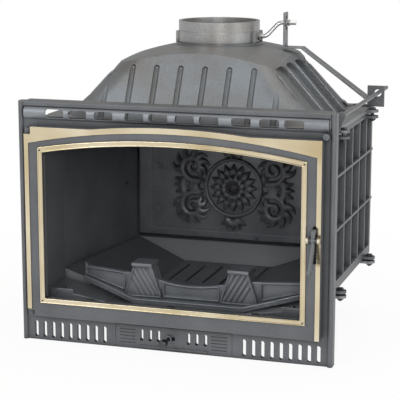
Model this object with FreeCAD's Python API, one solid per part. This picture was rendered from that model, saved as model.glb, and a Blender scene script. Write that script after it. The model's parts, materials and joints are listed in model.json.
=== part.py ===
import FreeCAD, Part
import math
import os

# Fireplace insert: cast firebox with a glazed arched door, a hood with a flue damper and an air slider.
# Millimetres. X to the right, Y from the front to the back, Z up.
# The origin is under the middle of the front frame, at the height of the hearth it stands on.

V = FreeCAD.Vector

# Shared values
overrun = 2.0
gap = 0.4
run_clear = 0.05

# Front frame
front_width = 750.0
front_height = 570.0
plate_thick = 12.0
plate_drop = 39.0
post_width = 12.5
post_depth = 25.0
post_proud = 6.0
ledge_thick = 12.0
ledge_depth = 40.0
ledge_round = 3.0
neck_out = 6.5
neck_under = 11.0
neck_over = 3.0
neck_wall = 8.0
neck_end = 100.0
neck_flange = 8.0
vent_width = 10.0
vent_low = 6.0
vent_high = 46.0
vent_first = 169.5
vent_margin = 20.2
vent_count = 9

# Convection grille
grille_gap = 3.5
grille_lap = 3.0
grille_bulge = 10.0
grille_shell = 4.0
grille_slot_length = 45.0
grille_slot_height = 20.0
grille_slot_round = 6.0
grille_slot_shares = (0.0864, 0.2451, 0.4513, 0.6295, 0.7869)

# Air panel and slider
panel_half = 141.0
panel_seam = 1.0
panel_high = 56.0
panel_lap = 10.0
panel_lap_thick = 3.0
panel_slot_width = 9.0
panel_slot_low = 20.0
panel_slot_high = 48.0
panel_slot_places = (36.5, 56.5, 77.5)
grip_inner = 92.0
grip_outer = 130.0
grip_depth = 2.0
grip_height = 3.0
grip_first = 12.0
grip_pitch = 8.0
grip_count = 5
sill_half = 82.0
sill_low = 5.0
sill_high = 9.0
sill_proud = 3.0
rail_low = 10.5
rail_high = 14.0
rail_lip = 2.5
rail_lip_depth = 3.0
slider_half = 105.0
slider_thick = 3.0
slider_travel = 10.0
knob_place = -10.0
knob_height = 31.0
knob_stem_radius = 4.0
knob_radius = 8.5
knob_length = 20.0
knob_out = 50.0
knob_round = 2.5

# Side walls
wall_out = 18.0
wall_plate = 8.0
wall_rib = 15.0
wall_rise = 43.0
wall_over = 24.0
wall_depth = 410.0
rib_width = 6.0
rib_start = 13.0
rib_end = 65.0
rib_count = 5
rib_height_shares = (0.3842, 0.7248)
wall_flange_low = 22.0
wall_flange_high = 10.0
ear_reach = 26.0
ear_half = 14.0
ear_thick = 6.0
ear_gap = 5.0
ear_start = 6.0
ear_end = 60.0
bolt_radius = 4.0
bolt_head_radius = 7.5
bolt_head_height = 5.5
bolt_tail = 5.0

# Back wall and fireback
back_thick = 8.0
back_rib = 12.0
back_rib_places = (0.0, 120.0, 240.0)
fireback_space = 25.0
fireback_thick = 9.0
fireback_gap = 4.0
fireback_lift = 10.0
fireback_under = 18.0
fireback_border = 32.0
fireback_recess = 3.0
fireback_round = 12.0
fireback_bolt_inset = 54.0
fireback_bolt_height_shares = (0.227273, 0.587662)

# Side linings
lining_thick = 8.0
lining_out = 4.0
lining_slant = 54.0
lining_over = 2.0

# Hearth tray, grate and ash pan
tray_lip = 7.0
tray_drop = 46.0
tray_skin = 8.0
tray_ledge = 4.0
tray_floor_back_half = 118.0
tray_skirt = 22.0
tray_slope_run = 44.0
tray_rim_gap = 1.0
grate_half = 110.0
grate_inset = 20.0
grate_thick = 8.0
grate_lip = 6.0
grate_slot_width = 8.0
grate_slot_start = 105.0
grate_slot_end = 28.0
grate_slot_pitch = 44.0
grate_slot_count = 5
well_room = 6.0
well_depth = 38.0
well_sheet = 3.0
pan_sheet = 2.0
pan_clear = 5.0
pan_depth = 29.0
inlet_half = 80.0
inlet_rise = 10.0
inlet_height = 18.0

# Log guard, which lies loose a little right of the middle, and sill plates
guard_offset = 24.0
guard_front = 22.0
guard_ledge = 10.0
guard_fence = 32.0
guard_thick = 10.0
guard_half = 132.0
guard_dip = 44.0
guard_shoulder = 64.0
guard_side = 10.0
guard_reach_back = 56.0
guard_tip_depth = 20.0
guard_tip_low = 33.0
guard_tip_high = 65.0
guard_horn = 9.0
guard_border = 6.0
guard_sunk = 3.0
dog_place = 117.0
dog_foot_half = 46.0
dog_head_half = 22.0
dog_height = 85.0
dog_depth = 40.0
dog_proud = 6.0
dog_cap_half = 25.0
dog_cap_proud = 8.0
dog_cap_depth = 52.0
dog_cap_height = 7.0
dog_flute_radius = 2.6
dog_flute_pitch = 13.0
dog_flute_count = 5
dog_flute_angle = 60.0
sill_gap = 14.0
sill_toe = 2.0
sill_corner = 62.0
sill_depth = 80.0
sill_rise = 26.0
sill_thick = 6.0

# Smoke baffle
baffle_space = 115.0
baffle_thick = 8.0
baffle_lip = 14.0

# Hood
hood_gasket = 3.0
flange_lip = 3.0
flange_fore = 22.0
flange_rear = 10.0
flange_thick = 10.0
hood_side_in = 47.0
hood_shoulder = 53.0
hood_front_in = 6.0
hood_front_run = 91.0
hood_back_in = 15.0
hood_back_run = 41.0
hood_corner_low = 70.0
hood_corner_high = 60.0
hood_rise = 177.0
hood_side_wall = 23.0
hood_front_wall = 13.5
hood_back_wall = 7.5
dome_rise = 165.0
dome_radius_x = 640.0
dome_radius_y = 1250.0
dome_half = 420.0
dome_depth = 300.0
dome_wall = 8.0
flute_radius = 7.0
flute_depth = 6.0
flute_places = (29.5, 88.5, 147.5)
flute_rise = 117.0
flute_outer_place = 208.0
flute_outer_rise = 74.0
trough_start = 59.0
trough_pitch = 83.0
trough_count = 4
trough_ridge = 7.0
trough_depth = 10.0
trough_rise = 125.0
trough_round = 26.0

# Flue collar and damper
flue_back = 150.0
collar_radius = 99.0
collar_wall = 5.0
collar_height = 51.0
collar_band = 0.6
collar_band_height = 27.0
seat_lip = 7.0
seat_rise = 163.0
spigot_depth = 14.0
collar_lug_width = 7.0
collar_lug_reach = 7.0
collar_lug_height = 26.0
collar_lug_angles = (160.0, 200.0, -20.0, 20.0)
shaft_rise = 14.0
shaft_radius = 5.0
boss_radius = 9.0
boss_reach = 6.0
crank_out = 19.0
crank_step = 28.0
crank_run = 42.0
crank_radius = 38.0
crank_bend = 10.0
crank_tilt = 30.0
damper_gap = 1.5
damper_thick = 4.0
damper_tilt = 10.0
damper_screw_place = 45.0
damper_screw_radius = 2.5
damper_head_radius = 5.0
damper_head_height = 3.0

# Damper control
pull_inset = 19.5
pull_drop = 10.0
pull_radius = 5.0
pull_knob_radius = 7.5
pull_knob_out = 20.0
pull_knob_length = 10.0
pull_knob_round = 1.5
rod_out = 19.0
rod_rise = 34.0
rod_beyond = 80.0
lug_space = 48.0
lug_thick = 7.0
lug_radius = 9.0
lug_bolt_radius = 3.5
lug_bolt_length = 6.0
guide_inset = 32.0
guide_thick = 5.0
guide_in = 26.0
guide_out = 16.0
guide_rise = 52.0
guide_hole = 9.0
guide_foot = 34.0
strap_width = 32.0
strap_thick = 4.0
strap_in = 26.0
strap_over = 20.0
strap_flat = 44.0
strap_drop = 24.0
strap_slot_width = 13.0
strap_slot_rise = 16.0
strap_slot_head = 12.0
washer_radius = 10.0
washer_thick = 2.0
nut_radius = 8.0
nut_thick = 7.0

# Door
door_side = 25.0
door_low = 66.0
door_clear = 3.0
door_rise = 10.5
door_shoulder = 164.0
door_out = 28.0
door_plate = 10.0
door_rim = 8.0
door_gap = 2.0
door_stile = 44.5
door_foot = 45.0
door_head = 42.0
sight_arch = 27.0
glass_lap = 5.5
glass_thick = 4.0
glass_gasket = 1.5
rope_out = 15.0
rope_rise = 16.0
rope_head = 15.0
rope_arch = 26.0
rope_width = 10.0
rope_gap = 0.5
rope_rib = 2.5
rope_rib_gap = 7.0
trim_thick = 2.0
trim_inner_band = 12.0
trim_inner_rise = 1.0
trim_outer_band = 10.5
trim_head = 13.0
trim_arch = 35.0
trim_left_start = 17.0
trim_screw_radius = 2.0
trim_screw_height = 0.8
trim_screw_inset = 6.0
clip_half = 9.0
clip_length = 21.0
clip_thick = 2.0
clip_land = 11.5
clip_shares = (-0.65, 0.0, 0.65)
clip_screw_radius = 2.5
clip_screw_head = 4.5
clip_screw_height = 2.5
hinge_inset = 6.0
hinge_out = 16.0
hinge_pin_radius = 4.0
hinge_notch = 16.0
hinge_lug_radius = 8.0
hinge_lug_rise = 1.0
hinge_lug_drop = 4.5
hinge_lug_thick = 12.0
hinge_barrel_length = 24.0
hinge_barrel_width = 15.0
hinge_barrel_gap = 6.0
hinge_pin_depth = 20.0

# Handle
handle_inset = 13.5
handle_out = 17.0
handle_height = 297.0
handle_half = 4.0
handle_pin_radius = 4.0
handle_ear_thick = 5.0
handle_ear_gap = 1.0
handle_ear_radius = 7.0
handle_cap_radius = 7.0
handle_cap_length = 6.0
handle_boss_radius = 7.0
handle_arm_half = 4.5
handle_end_out = 35.0
handle_end_drop = 63.0
handle_eye_radius = 8.0
handle_eye_hole = 4.0
handle_nose_rise = 19.0
handle_nose_thick = 8.0
handle_nose_gap = 8.0
handle_slot_half = 5.0
handle_slot_drop = 57.0
handle_slot_rise = 29.0
keeper_rise = 24.0
keeper_height = 11.0
keeper_half = 4.5
keeper_out = 9.0

# Rear legs
leg_x = 200.0
leg_inset = 55.0
leg_half = 20.0
leg_foot_half = 30.0
leg_foot_thick = 8.0

# Places along the front, from the middle outwards
half_width = front_width / 2
post_inner = half_width - post_width
vent_pitch = (post_inner - vent_margin - vent_first) / (vent_count - 1)
grille_half = post_inner - grille_gap
door_half = half_width - door_side
door_bump_half = door_half - door_shoulder
sight_half = door_half - door_stile
rope_half = sight_half + rope_out
hinge_x = hinge_inset - door_half
hinge_barrel_right = hinge_barrel_width - door_half
handle_x = door_half - handle_inset
neck_half = sight_half + neck_out
wall_inner = neck_half + wall_out
wall_outer = wall_inner + wall_plate
rib_outer = wall_outer + wall_rib
ear_x = rib_outer + ear_reach / 2
guard_reach = neck_half - guard_offset - guard_side
sill_reach = neck_half - guard_offset - guard_half - sill_gap
lining_front = neck_half + lining_out
lining_back = lining_front - lining_slant
fireback_half = lining_back - fireback_gap
fireback_bolt_x = fireback_half - fireback_bolt_inset
tray_rim_half = neck_half
tray_rim_back_half = lining_back - tray_ledge
well_half = grate_half + well_room
flange_half = rib_outer + flange_lip
hood_side_low = flange_half - hood_side_in
hood_side_high = collar_radius + hood_shoulder
collar_bore = collar_radius - collar_wall
collar_inside = collar_bore - collar_wall / 2
seat_radius = collar_radius + seat_lip
damper_radius = collar_inside - damper_gap
crank_start = collar_radius + crank_out
crank_end = crank_start + crank_step
crank_tip = crank_end + crank_run
strap_upright_x = crank_tip - strap_in
strap_knee_x = strap_upright_x + strap_flat
pull_x = half_width - pull_inset
side_rod_x = rib_outer + rod_out
guide_left = side_rod_x - guide_in
guide_right = side_rod_x + guide_out

# Places from the front to the back
front_y = -plate_thick / 2
rear_y = plate_thick / 2
post_front = front_y - post_proud
slider_y = rear_y + gap
knob_front = front_y - knob_out
door_front = front_y - door_out
door_back = front_y - door_gap
plate_back = door_front + door_plate
rope_back = front_y - rope_gap
rope_rib_back = front_y - rope_rib_gap
hinge_y = front_y - hinge_out
hinge_barrel_back = front_y - hinge_barrel_gap
handle_y = door_front - handle_out
handle_end_y = handle_y - handle_end_out
handle_nose_back = front_y - handle_nose_gap
keeper_front = front_y - keeper_out
wall_back = neck_end + wall_depth
rib_first = neck_end + rib_start
rib_pitch = (wall_depth - rib_start - rib_end) / (rib_count - 1)
ear_front = neck_end + ear_start
ear_back = wall_back - ear_end
fireback_front = wall_back - fireback_space
tray_rim_back = fireback_front - tray_rim_gap
tray_floor_back = tray_rim_back - tray_slope_run
grate_front = neck_end + grate_inset
grate_back = tray_floor_back - grate_inset
grate_slot_front = grate_front + grate_slot_start
grate_slot_back = grate_back - grate_slot_end
well_front = grate_front - well_room
well_back = grate_back + well_room
baffle_front = neck_end + baffle_space
flange_front = neck_end - flange_fore
flange_back = wall_back + flange_rear
hood_front_low = flange_front + hood_front_in
hood_front_high = hood_front_low + hood_front_run
hood_back_low = flange_back - hood_back_in
hood_back_high = hood_back_low - hood_back_run
trough_first = flange_front + trough_start
flue_y = hood_back_low - flue_back
crank_y = flue_y + crank_radius * math.sin(math.radians(crank_tilt))
strap_y = crank_y
pull_knob_front = front_y - pull_knob_out
lug_front = rear_y + lug_space
side_rod_back = flange_back + rod_beyond
guide_y = wall_back - guide_inset
leg_y = wall_back - leg_inset

# Heights
plate_top = front_height - plate_drop
grille_low = plate_top - grille_lap
grille_high = front_height - ledge_thick
door_crown = grille_low - door_clear
door_top = door_crown - door_rise
sight_low = door_low + door_foot
sight_crown = door_crown - door_head
sight_corner = sight_crown - sight_arch
rope_low = door_low + rope_rise
rope_crown = door_crown - rope_head
rope_corner = rope_crown - rope_arch
trim_spring_crown = door_crown - trim_head
trim_spring = trim_spring_crown - trim_arch
trim_left_end = door_low + trim_left_start
hinge_lug_low = door_low + hinge_lug_rise
hinge_lug_high = door_top - hinge_lug_drop
handle_end_height = handle_height - handle_end_drop
handle_nose_height = handle_height + handle_nose_rise
handle_slot_low = handle_height - handle_slot_drop
handle_slot_high = handle_height + handle_slot_rise
keeper_low = handle_height + keeper_rise
keeper_high = keeper_low + keeper_height
neck_low = sight_low - neck_under
neck_high = sight_crown + neck_over
wall_low = neck_low + wall_rise
wall_high = neck_high + wall_over
rib_heights = [wall_low + share * (wall_high - wall_low) for share in rib_height_shares]
lining_high = neck_high + lining_over
tray_rim = wall_low + tray_lip
tray_floor = tray_rim - tray_drop
fireback_low = tray_rim + fireback_lift
fireback_high = neck_high - fireback_under
fireback_height = fireback_high - fireback_low
fireback_bolt_heights = [fireback_low + share * fireback_height for share in fireback_bolt_height_shares]
well_top = tray_floor - tray_skin
well_low = well_top - well_depth
inlet_low = well_low + inlet_rise
inlet_high = inlet_low + inlet_height
hood_base = wall_high + hood_gasket
hood_low = hood_base + flange_thick
hood_pyramid_top = hood_low + hood_rise
dome_top = hood_low + dome_rise
flute_top = hood_low + flute_rise
flute_outer_top = hood_low + flute_outer_rise
trough_top = hood_low + trough_rise
seat_top = hood_low + seat_rise
collar_top = seat_top + collar_height
shaft_height = seat_top + shaft_rise
crank_z = shaft_height + crank_radius * math.cos(math.radians(crank_tilt))
pull_height = plate_top - pull_drop
side_rod_height = hood_low + rod_rise
guide_top = hood_low + guide_rise
strap_top = shaft_height + crank_radius + strap_over
strap_knee_high = shaft_height - strap_drop
strap_slot_low = shaft_height + strap_slot_rise
strap_slot_high = shaft_height + crank_radius + strap_slot_head


def block(x0, x1, y0, y1, z0, z1):
    """A box between two corners."""
    return Part.makeBox(x1 - x0, y1 - y0, z1 - z0, V(x0, y0, z0))


def rod(axis, x, y, z, radius, length):
    """A cylinder that starts at a point and runs along an axis."""
    return Part.makeCylinder(radius, length, V(x, y, z), axis)


AX = V(1, 0, 0)
AY = V(0, 1, 0)
AZ = V(0, 0, 1)


def outline(points, place):
    """A closed wire of lines and arcs; an entry of two points is an arc's middle and end."""
    edges = []
    start = place(*points[0])
    first = start
    for item in points[1:]:
        if isinstance(item[0], tuple):
            middle = place(*item[0])
            end = place(*item[1])
            edges.append(Part.Arc(start, middle, end).toShape())
        else:
            end = place(*item)
            edges.append(Part.makeLine(start, end))
        start = end
    if start.distanceToPoint(first) > 0:
        edges.append(Part.makeLine(start, first))
    return Part.Wire(edges)


def prism_y(points, y0, y1):
    """An outline in X and Z carried from one Y to another."""
    face = Part.Face(outline(points, lambda x, z: V(x, y0, z)))
    return face.extrude(V(0, y1 - y0, 0))


def prism_x(points, x0, x1):
    """An outline in Y and Z carried from one X to another."""
    face = Part.Face(outline(points, lambda y, z: V(x0, y, z)))
    return face.extrude(V(x1 - x0, 0, 0))


def prism_z(points, z0, z1):
    """An outline in X and Y carried from one Z to another."""
    face = Part.Face(outline(points, lambda x, y: V(x, y, z0)))
    return face.extrude(V(0, 0, z1 - z0))


def slot_y(x, z0, z1, width, y0, y1):
    """An upright slot with round ends, cut along Y."""
    r = width / 2
    points = [(x - r, z0 + r), ((x, z0), (x + r, z0 + r)), (x + r, z1 - r), ((x, z1), (x - r, z1 - r))]
    return prism_y(points, y0, y1)


def rounded(x0, x1, y0, y1, radius, z):
    """A rectangle with round corners at one height, as a wire."""
    k = radius * (1 - math.sqrt(1 / 2))
    points = [
        (x0 + radius, y0), (x1 - radius, y0), ((x1 - k, y0 + k), (x1, y0 + radius)),
        (x1, y1 - radius), ((x1 - k, y1 - k), (x1 - radius, y1)),
        (x0 + radius, y1), ((x0 + k, y1 - k), (x0, y1 - radius)),
        (x0, y0 + radius), ((x0 + k, y0 + k), (x0 + radius, y0)),
    ]
    return outline(points, lambda x, y: V(x, y, z))


def arched(half, low, corner, crown):
    """A rectangle with an arched top, as points."""
    return [(-half, low), (half, low), (half, corner), ((0, crown), (-half, corner))]


def both(shape):
    """A shape and its mirror image across the middle."""
    return [shape, shape.mirror(V(0, 0, 0), AX)]


def join(shapes):
    """Several touching solids as one."""
    return shapes[0].multiFuse(shapes[1:]).removeSplitter()


def cut(shape, tools):
    """A solid less several others."""
    return shape.cut(Part.makeCompound(tools))


def bolt(x, y, z_head, length, grip_radius=bolt_radius):
    """A hanging bolt with a six-sided head on top."""
    corners = []
    for k in range(6):
        a = math.radians(60 * k)
        corners.append((x + bolt_head_radius * math.cos(a), y + bolt_head_radius * math.sin(a)))
    head = prism_z(corners, z_head, z_head + bolt_head_height)
    shank = rod(-AZ, x, y, z_head + overrun, grip_radius, length + overrun)
    return head.fuse(shank)


def save(name, shapes):
    """Writes one node, either one solid or a group of separate ones."""
    if not isinstance(shapes, list):
        shapes = [shapes]
    solids = []
    for shape in shapes:
        solids.extend(shape.Solids)
    result = solids[0] if len(solids) == 1 else Part.makeCompound(solids)
    result.exportStep("parts/" + name + ".step")


os.makedirs("parts", exist_ok=True)

# Front frame: plate, posts, top ledge and the neck that carries the firebox
plate = block(-post_inner, post_inner, front_y, rear_y, 0, plate_top)
holes = [block(-neck_half, neck_half, front_y - overrun, rear_y + overrun, neck_low, neck_high)]
panel_gap = panel_half + panel_seam
holes.append(
    block(
        -panel_gap, panel_gap, front_y - overrun, rear_y + overrun, -overrun, panel_high + panel_seam,
    ),
)
for k in range(vent_count):
    x = vent_first + k * vent_pitch
    holes += both(slot_y(x, vent_low, vent_high, vent_width, front_y - overrun, rear_y + overrun))
holes.append(
    rod(AY, pull_x, front_y - overrun, pull_height, pull_radius + gap, plate_thick + 2 * overrun),
)
plate = cut(plate, holes)
round_radius = post_width / 2
post_middle = half_width - round_radius
post_back = post_front + post_depth
post = prism_z(
    [
        (post_inner, post_back), (post_inner, post_front + round_radius),
        ((post_middle, post_front), (half_width, post_front + round_radius)), (half_width, post_back),
    ],
    0, front_height,
)
ledge_low = front_height - ledge_thick
ledge = block(
    -post_inner, post_inner, front_y - ledge_round, front_y + ledge_depth, ledge_low, front_height,
)
ledge = ledge.makeFillet(
    ledge_round,
    [e for e in ledge.Edges if e.CenterOfMass.y < front_y and abs(e.Length - 2 * post_inner) < gap],
)
outer = neck_half + neck_wall
neck = block(-outer, outer, rear_y, neck_end, neck_low - neck_wall, neck_high + neck_wall)
collar_plate = block(
    -wall_outer, wall_outer, neck_end - neck_flange, neck_end, neck_low - neck_wall, wall_high,
)
neck = neck.fuse(collar_plate)
neck = neck.cut(block(-neck_half, neck_half, rear_y - overrun, neck_end + overrun, neck_low, neck_high))
lugs = []
for z in (hinge_lug_low, hinge_lug_high - hinge_lug_thick):
    lug = rod(AZ, hinge_x, hinge_y, z, hinge_lug_radius, hinge_lug_thick)
    lug = lug.fuse(
        block(
            hinge_x - hinge_lug_radius, hinge_x + hinge_lug_radius, hinge_y, front_y, z,
            z + hinge_lug_thick,
        ),
    )
    lugs.append(
        lug.cut(
            rod(AZ, hinge_x, hinge_y, z - overrun, hinge_pin_radius, hinge_lug_thick + 2 * overrun),
        ),
    )
front_frame = join([plate, ledge, neck] + both(post) + lugs)
save("front_frame", front_frame)
pins = [
    rod(AZ, hinge_x, hinge_y, hinge_lug_low, hinge_pin_radius, hinge_lug_thick + hinge_pin_depth),
    rod(-AZ, hinge_x, hinge_y, hinge_lug_high, hinge_pin_radius, hinge_lug_thick + hinge_pin_depth),
]
save("hinge_pins", pins)

# Convection grille: a bowed bar with ten air slots
middle = (grille_low + grille_high) / 2
skin_front = front_y - grille_bulge
grille = prism_x(
    [(front_y, grille_low), ((skin_front, middle), (front_y, grille_high))], -grille_half, grille_half,
)
hollow = prism_x(
    [
        (front_y, grille_low + grille_shell),
        ((skin_front + grille_shell, middle), (front_y, grille_high - grille_shell)),
    ],
    -grille_half + grille_shell, grille_half - grille_shell,
)
slots = [hollow]
for share in grille_slot_shares:
    x = share * grille_half
    shape = block(
        x - grille_slot_length / 2, x + grille_slot_length / 2, skin_front - overrun, front_y + overrun,
        middle - grille_slot_height / 2, middle + grille_slot_height / 2,
    )
    edges = [e for e in shape.Edges if abs(e.Length - (grille_bulge + 2 * overrun)) < gap]
    slots += both(shape.makeFillet(grille_slot_round, edges))
save("convection_grille", cut(grille, slots))

# Air panel with grip grooves, slots and the rails of the slider
panel = block(-panel_half, panel_half, front_y, rear_y, 0, panel_high)
panel = panel.fuse(block(-sill_half, sill_half, front_y - sill_proud, front_y, sill_low, sill_high))
slider_low = rail_high + gap
slider_high = panel_high - (rail_high - rail_low) - gap
rail_back = slider_y + slider_thick + gap
rails = []
for z0, z1, lip0, lip1 in (
    (rail_low, rail_high, rail_low, rail_high + rail_lip),
    (slider_high + gap, panel_high, slider_high + gap - rail_lip, panel_high),
):
    rails.append(block(-slider_half, slider_half, rear_y, rail_back, z0, z1))
    rails.append(block(-slider_half, slider_half, rail_back, rail_back + rail_lip_depth, lip0, lip1))
laps = both(
    block(
        panel_half - panel_lap, panel_half + panel_lap, rear_y, rear_y + panel_lap_thick,
        panel_slot_low, panel_slot_high,
    )
)
panel = join([panel] + rails + laps)
tools = []
for x in panel_slot_places:
    tools += both(
        slot_y(
            x, panel_slot_low, panel_slot_high, panel_slot_width, front_y - overrun, rear_y + overrun,
        ),
    )
for k in range(grip_count):
    z = grip_first + k * grip_pitch
    tools += both(
        block(grip_inner, grip_outer, front_y - overrun, front_y + grip_depth, z, z + grip_height),
    )
stem_slot = knob_stem_radius + gap
knob_left = knob_place - stem_slot
knob_right = knob_place + slider_travel + stem_slot
tools.append(
    block(
        knob_left, knob_right, front_y - overrun, rear_y + overrun, knob_height - stem_slot,
        knob_height + stem_slot,
    ),
)
save("air_panel", cut(panel, tools))
slider = block(-slider_half, slider_half, slider_y, slider_y + slider_thick, slider_low, slider_high)
tools = []
for x in panel_slot_places:
    tools += both(
        slot_y(x, panel_slot_low, panel_slot_high, panel_slot_width, slider_y - overrun, rail_back),
    )
tools.append(
    rod(AY, knob_place, slider_y - overrun, knob_height, knob_stem_radius, slider_thick + 2 * overrun),
)
save("air_slider", cut(slider, tools))
knob = rod(AY, knob_place, knob_front, knob_height, knob_radius, knob_length)
knob = knob.makeFillet(knob_round, [e for e in knob.Edges if len(e.Vertexes) == 1])
stem_end = slider_y + slider_thick
knob = knob.fuse(
    rod(
        AY, knob_place, knob_front + knob_length / 2, knob_height, knob_stem_radius,
        stem_end - knob_front - knob_length / 2,
    ),
)
save("slider_knob", knob)

# Side walls: ribbed castings with corner ears
wall = block(wall_inner, wall_outer, neck_end, wall_back, wall_low, wall_high)
ribs = []
for k in range(rib_count):
    y = rib_first + k * rib_pitch
    ribs.append(block(wall_outer, rib_outer, y - rib_width / 2, y + rib_width / 2, wall_low, wall_high))
for z in rib_heights:
    ribs.append(block(wall_outer, rib_outer, neck_end, wall_back, z - rib_width / 2, z + rib_width / 2))
ribs.append(block(wall_outer, rib_outer, neck_end, wall_back, wall_low, wall_low + wall_flange_low))
ribs.append(block(wall_outer, rib_outer, neck_end, wall_back, wall_high - wall_flange_high, wall_high))
ribs.append(block(wall_outer, rib_outer, wall_back - rib_width, wall_back, wall_low, wall_high))


def ear(y, z0, z1):
    """A rounded bolt ear that stands out from a wall's side."""
    foot = block(wall_outer, ear_x, y - ear_half, y + ear_half, z0, z1)
    tip = rod(AZ, ear_x, y, z0, ear_half, z1 - z0)
    hole = rod(AZ, ear_x, y, z0 - overrun, bolt_radius, z1 - z0 + 2 * overrun)
    return foot.fuse(tip).cut(hole)


wall_ears = []
tray_ears = []
hood_ears = []
tie_bolts_low = []
tie_bolts_high = []
for y in (ear_front, ear_back):
    low = wall_low - ear_gap
    wall_ears.append(ear(y, wall_low, wall_low + ear_thick))
    tray_ears.append(ear(y, low - ear_thick, low))
    wall_ears.append(ear(y, wall_high - ear_gap - ear_thick, wall_high - ear_gap))
    hood_ears.append(ear(y, hood_base, hood_base + ear_thick))
    stack = wall_low + ear_thick - (low - ear_thick)
    tie_bolts_low += both(bolt(ear_x, y, wall_low + ear_thick, stack + bolt_tail))
    stack = hood_base + ear_thick - (wall_high - ear_gap - ear_thick)
    tie_bolts_high += both(bolt(ear_x, y, hood_base + ear_thick, stack + bolt_tail))
right_wall = join([wall] + ribs + wall_ears)
save("side_wall_right", right_wall)
save("side_wall_left", right_wall.mirror(V(0, 0, 0), AX))
save("tie_bolts_low", tie_bolts_low)
save("tie_bolts_high", tie_bolts_high)

# Back wall with stiffening ribs, and the fireback bolted before it
back_end = wall_back + back_thick
back = block(-rib_outer, rib_outer, wall_back, back_end, wall_low, wall_high)
ribs = []
for x in back_rib_places:
    for side in {x, -x}:
        ribs.append(
            block(
                side - rib_width / 2, side + rib_width / 2, back_end, back_end + back_rib, wall_low,
                wall_high,
            ),
        )
for z in rib_heights:
    ribs.append(
        block(
            -rib_outer, rib_outer, back_end, back_end + back_rib, z - rib_width / 2, z + rib_width / 2,
        ),
    )
back = join([back] + ribs)
bolt_places = []
for z in fireback_bolt_heights:
    bolt_places += [(fireback_bolt_x, z), (-fireback_bolt_x, z)]
holes = []
for x, z in bolt_places:
    holes.append(
        rod(AY, x, fireback_front - overrun, z, bolt_radius, back_end + back_rib - fireback_front),
    )
back = cut(back, holes)
save("back_wall", back)
plate = block(
    -fireback_half, fireback_half, fireback_front, fireback_front + fireback_thick, fireback_low,
    fireback_high,
)
inner = fireback_half - fireback_border
recess = block(
    -inner, inner, fireback_front - overrun, fireback_front + fireback_recess,
    fireback_low + fireback_border / 2, fireback_high - fireback_border,
)
edges = [e for e in recess.Edges if abs(e.Length - (overrun + fireback_recess)) < gap]
recess = recess.makeFillet(fireback_round, edges)
plate = plate.cut(recess)
spacers = []
spacer_front = fireback_front + fireback_thick
for x, z in bolt_places:
    spacers.append(rod(AY, x, spacer_front, z, bolt_head_radius, wall_back - spacer_front))
fireback = cut(join([plate] + spacers), holes)
save("fireback", fireback)
fire_bolts = []
for x, z in bolt_places:
    seat = fireback_front + fireback_recess
    head = rod(AY, x, seat - bolt_head_height, z, bolt_head_radius, bolt_head_height)
    fire_bolts.append(head.fuse(rod(AY, x, seat, z, bolt_radius, back_end + bolt_tail - seat)))
save("fireback_bolts", fire_bolts)

# Side linings: slanted plates that narrow the fire chamber to the back
lining = prism_z(
    [
        (lining_front, neck_end), (lining_front + lining_thick, neck_end),
        (lining_back + lining_thick, fireback_front), (lining_back, fireback_front),
    ],
    tray_rim, lining_high,
)
save("side_lining_right", lining)
save("side_lining_left", lining.mirror(V(0, 0, 0), AX))

# Hearth tray: a shallow hopper that narrows to the back, with a flat place for the grate
taper_share = (tray_rim_half - tray_rim_back_half) / (tray_rim_back - neck_end)


def hopper(half_low, back_low, z_low, half_high, back_high, z_high, front):
    """A tapered block with an upright front, between two trapezia; the halves are those at the back."""
    wires = []
    for half, back, z in ((half_low, back_low, z_low), (half_high, back_high, z_high)):
        wide = half + taper_share * (back - front)
        corners = [V(-wide, front, z), V(wide, front, z), V(half, back, z), V(-half, back, z)]
        wires.append(Part.makePolygon(corners + corners[:1]))
    return Part.makeLoft(wires, True, True)


bowl = hopper(
    tray_floor_back_half + tray_skin, tray_floor_back + tray_skin, tray_floor - tray_skin,
    tray_rim_back_half + tray_skin, wall_back, wall_low, neck_end,
)
skirt_low = wall_low - ear_gap - ear_thick
inner = wall_outer - tray_skirt
skirt = block(-wall_outer, wall_outer, neck_end, wall_back, skirt_low, wall_low)
skirt = skirt.cut(
    block(
        -inner, inner, neck_end - overrun, wall_back - tray_skirt, skirt_low - overrun,
        wall_low - ear_thick,
    ),
)
shelf = block(-wall_inner, wall_inner, neck_end, wall_back, wall_low, tray_rim)
apron = block(
    -wall_inner, wall_inner, neck_end, neck_end + tray_skin, neck_low - neck_wall, wall_low,
)
tray = join([bowl, skirt, shelf, apron] + [s for e in tray_ears for s in both(e)])
space = hopper(
    tray_floor_back_half, tray_floor_back, tray_floor, tray_rim_back_half, tray_rim_back, tray_rim,
    neck_end - overrun,
)
grate_hole = block(
    -grate_half + grate_lip, grate_half - grate_lip, grate_front + grate_lip, grate_back - grate_lip,
    tray_floor - tray_skin - overrun, tray_floor + overrun,
)
grate_seat_low = tray_floor - grate_thick / 2
grate_seat = block(
    -grate_half - gap, grate_half + gap, grate_front - gap, grate_back + gap, grate_seat_low,
    tray_floor + overrun,
)
tray = cut(tray, [space, grate_hole, grate_seat])
save("hearth_tray", tray)
grate = block(
    -grate_half, grate_half, grate_front, grate_back, grate_seat_low, grate_seat_low + grate_thick,
)
tools = []
for k in range(grate_slot_count):
    x = (k - (grate_slot_count - 1) / 2) * grate_slot_pitch
    r = grate_slot_width / 2
    points = [
        (x - r, grate_slot_front), ((x, grate_slot_front - r), (x + r, grate_slot_front)),
        (x + r, grate_slot_back), ((x, grate_slot_back + r), (x - r, grate_slot_back)),
    ]
    tools.append(prism_z(points, grate_seat_low - overrun, grate_seat_low + grate_thick + overrun))
save("grate", cut(grate, tools))

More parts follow.
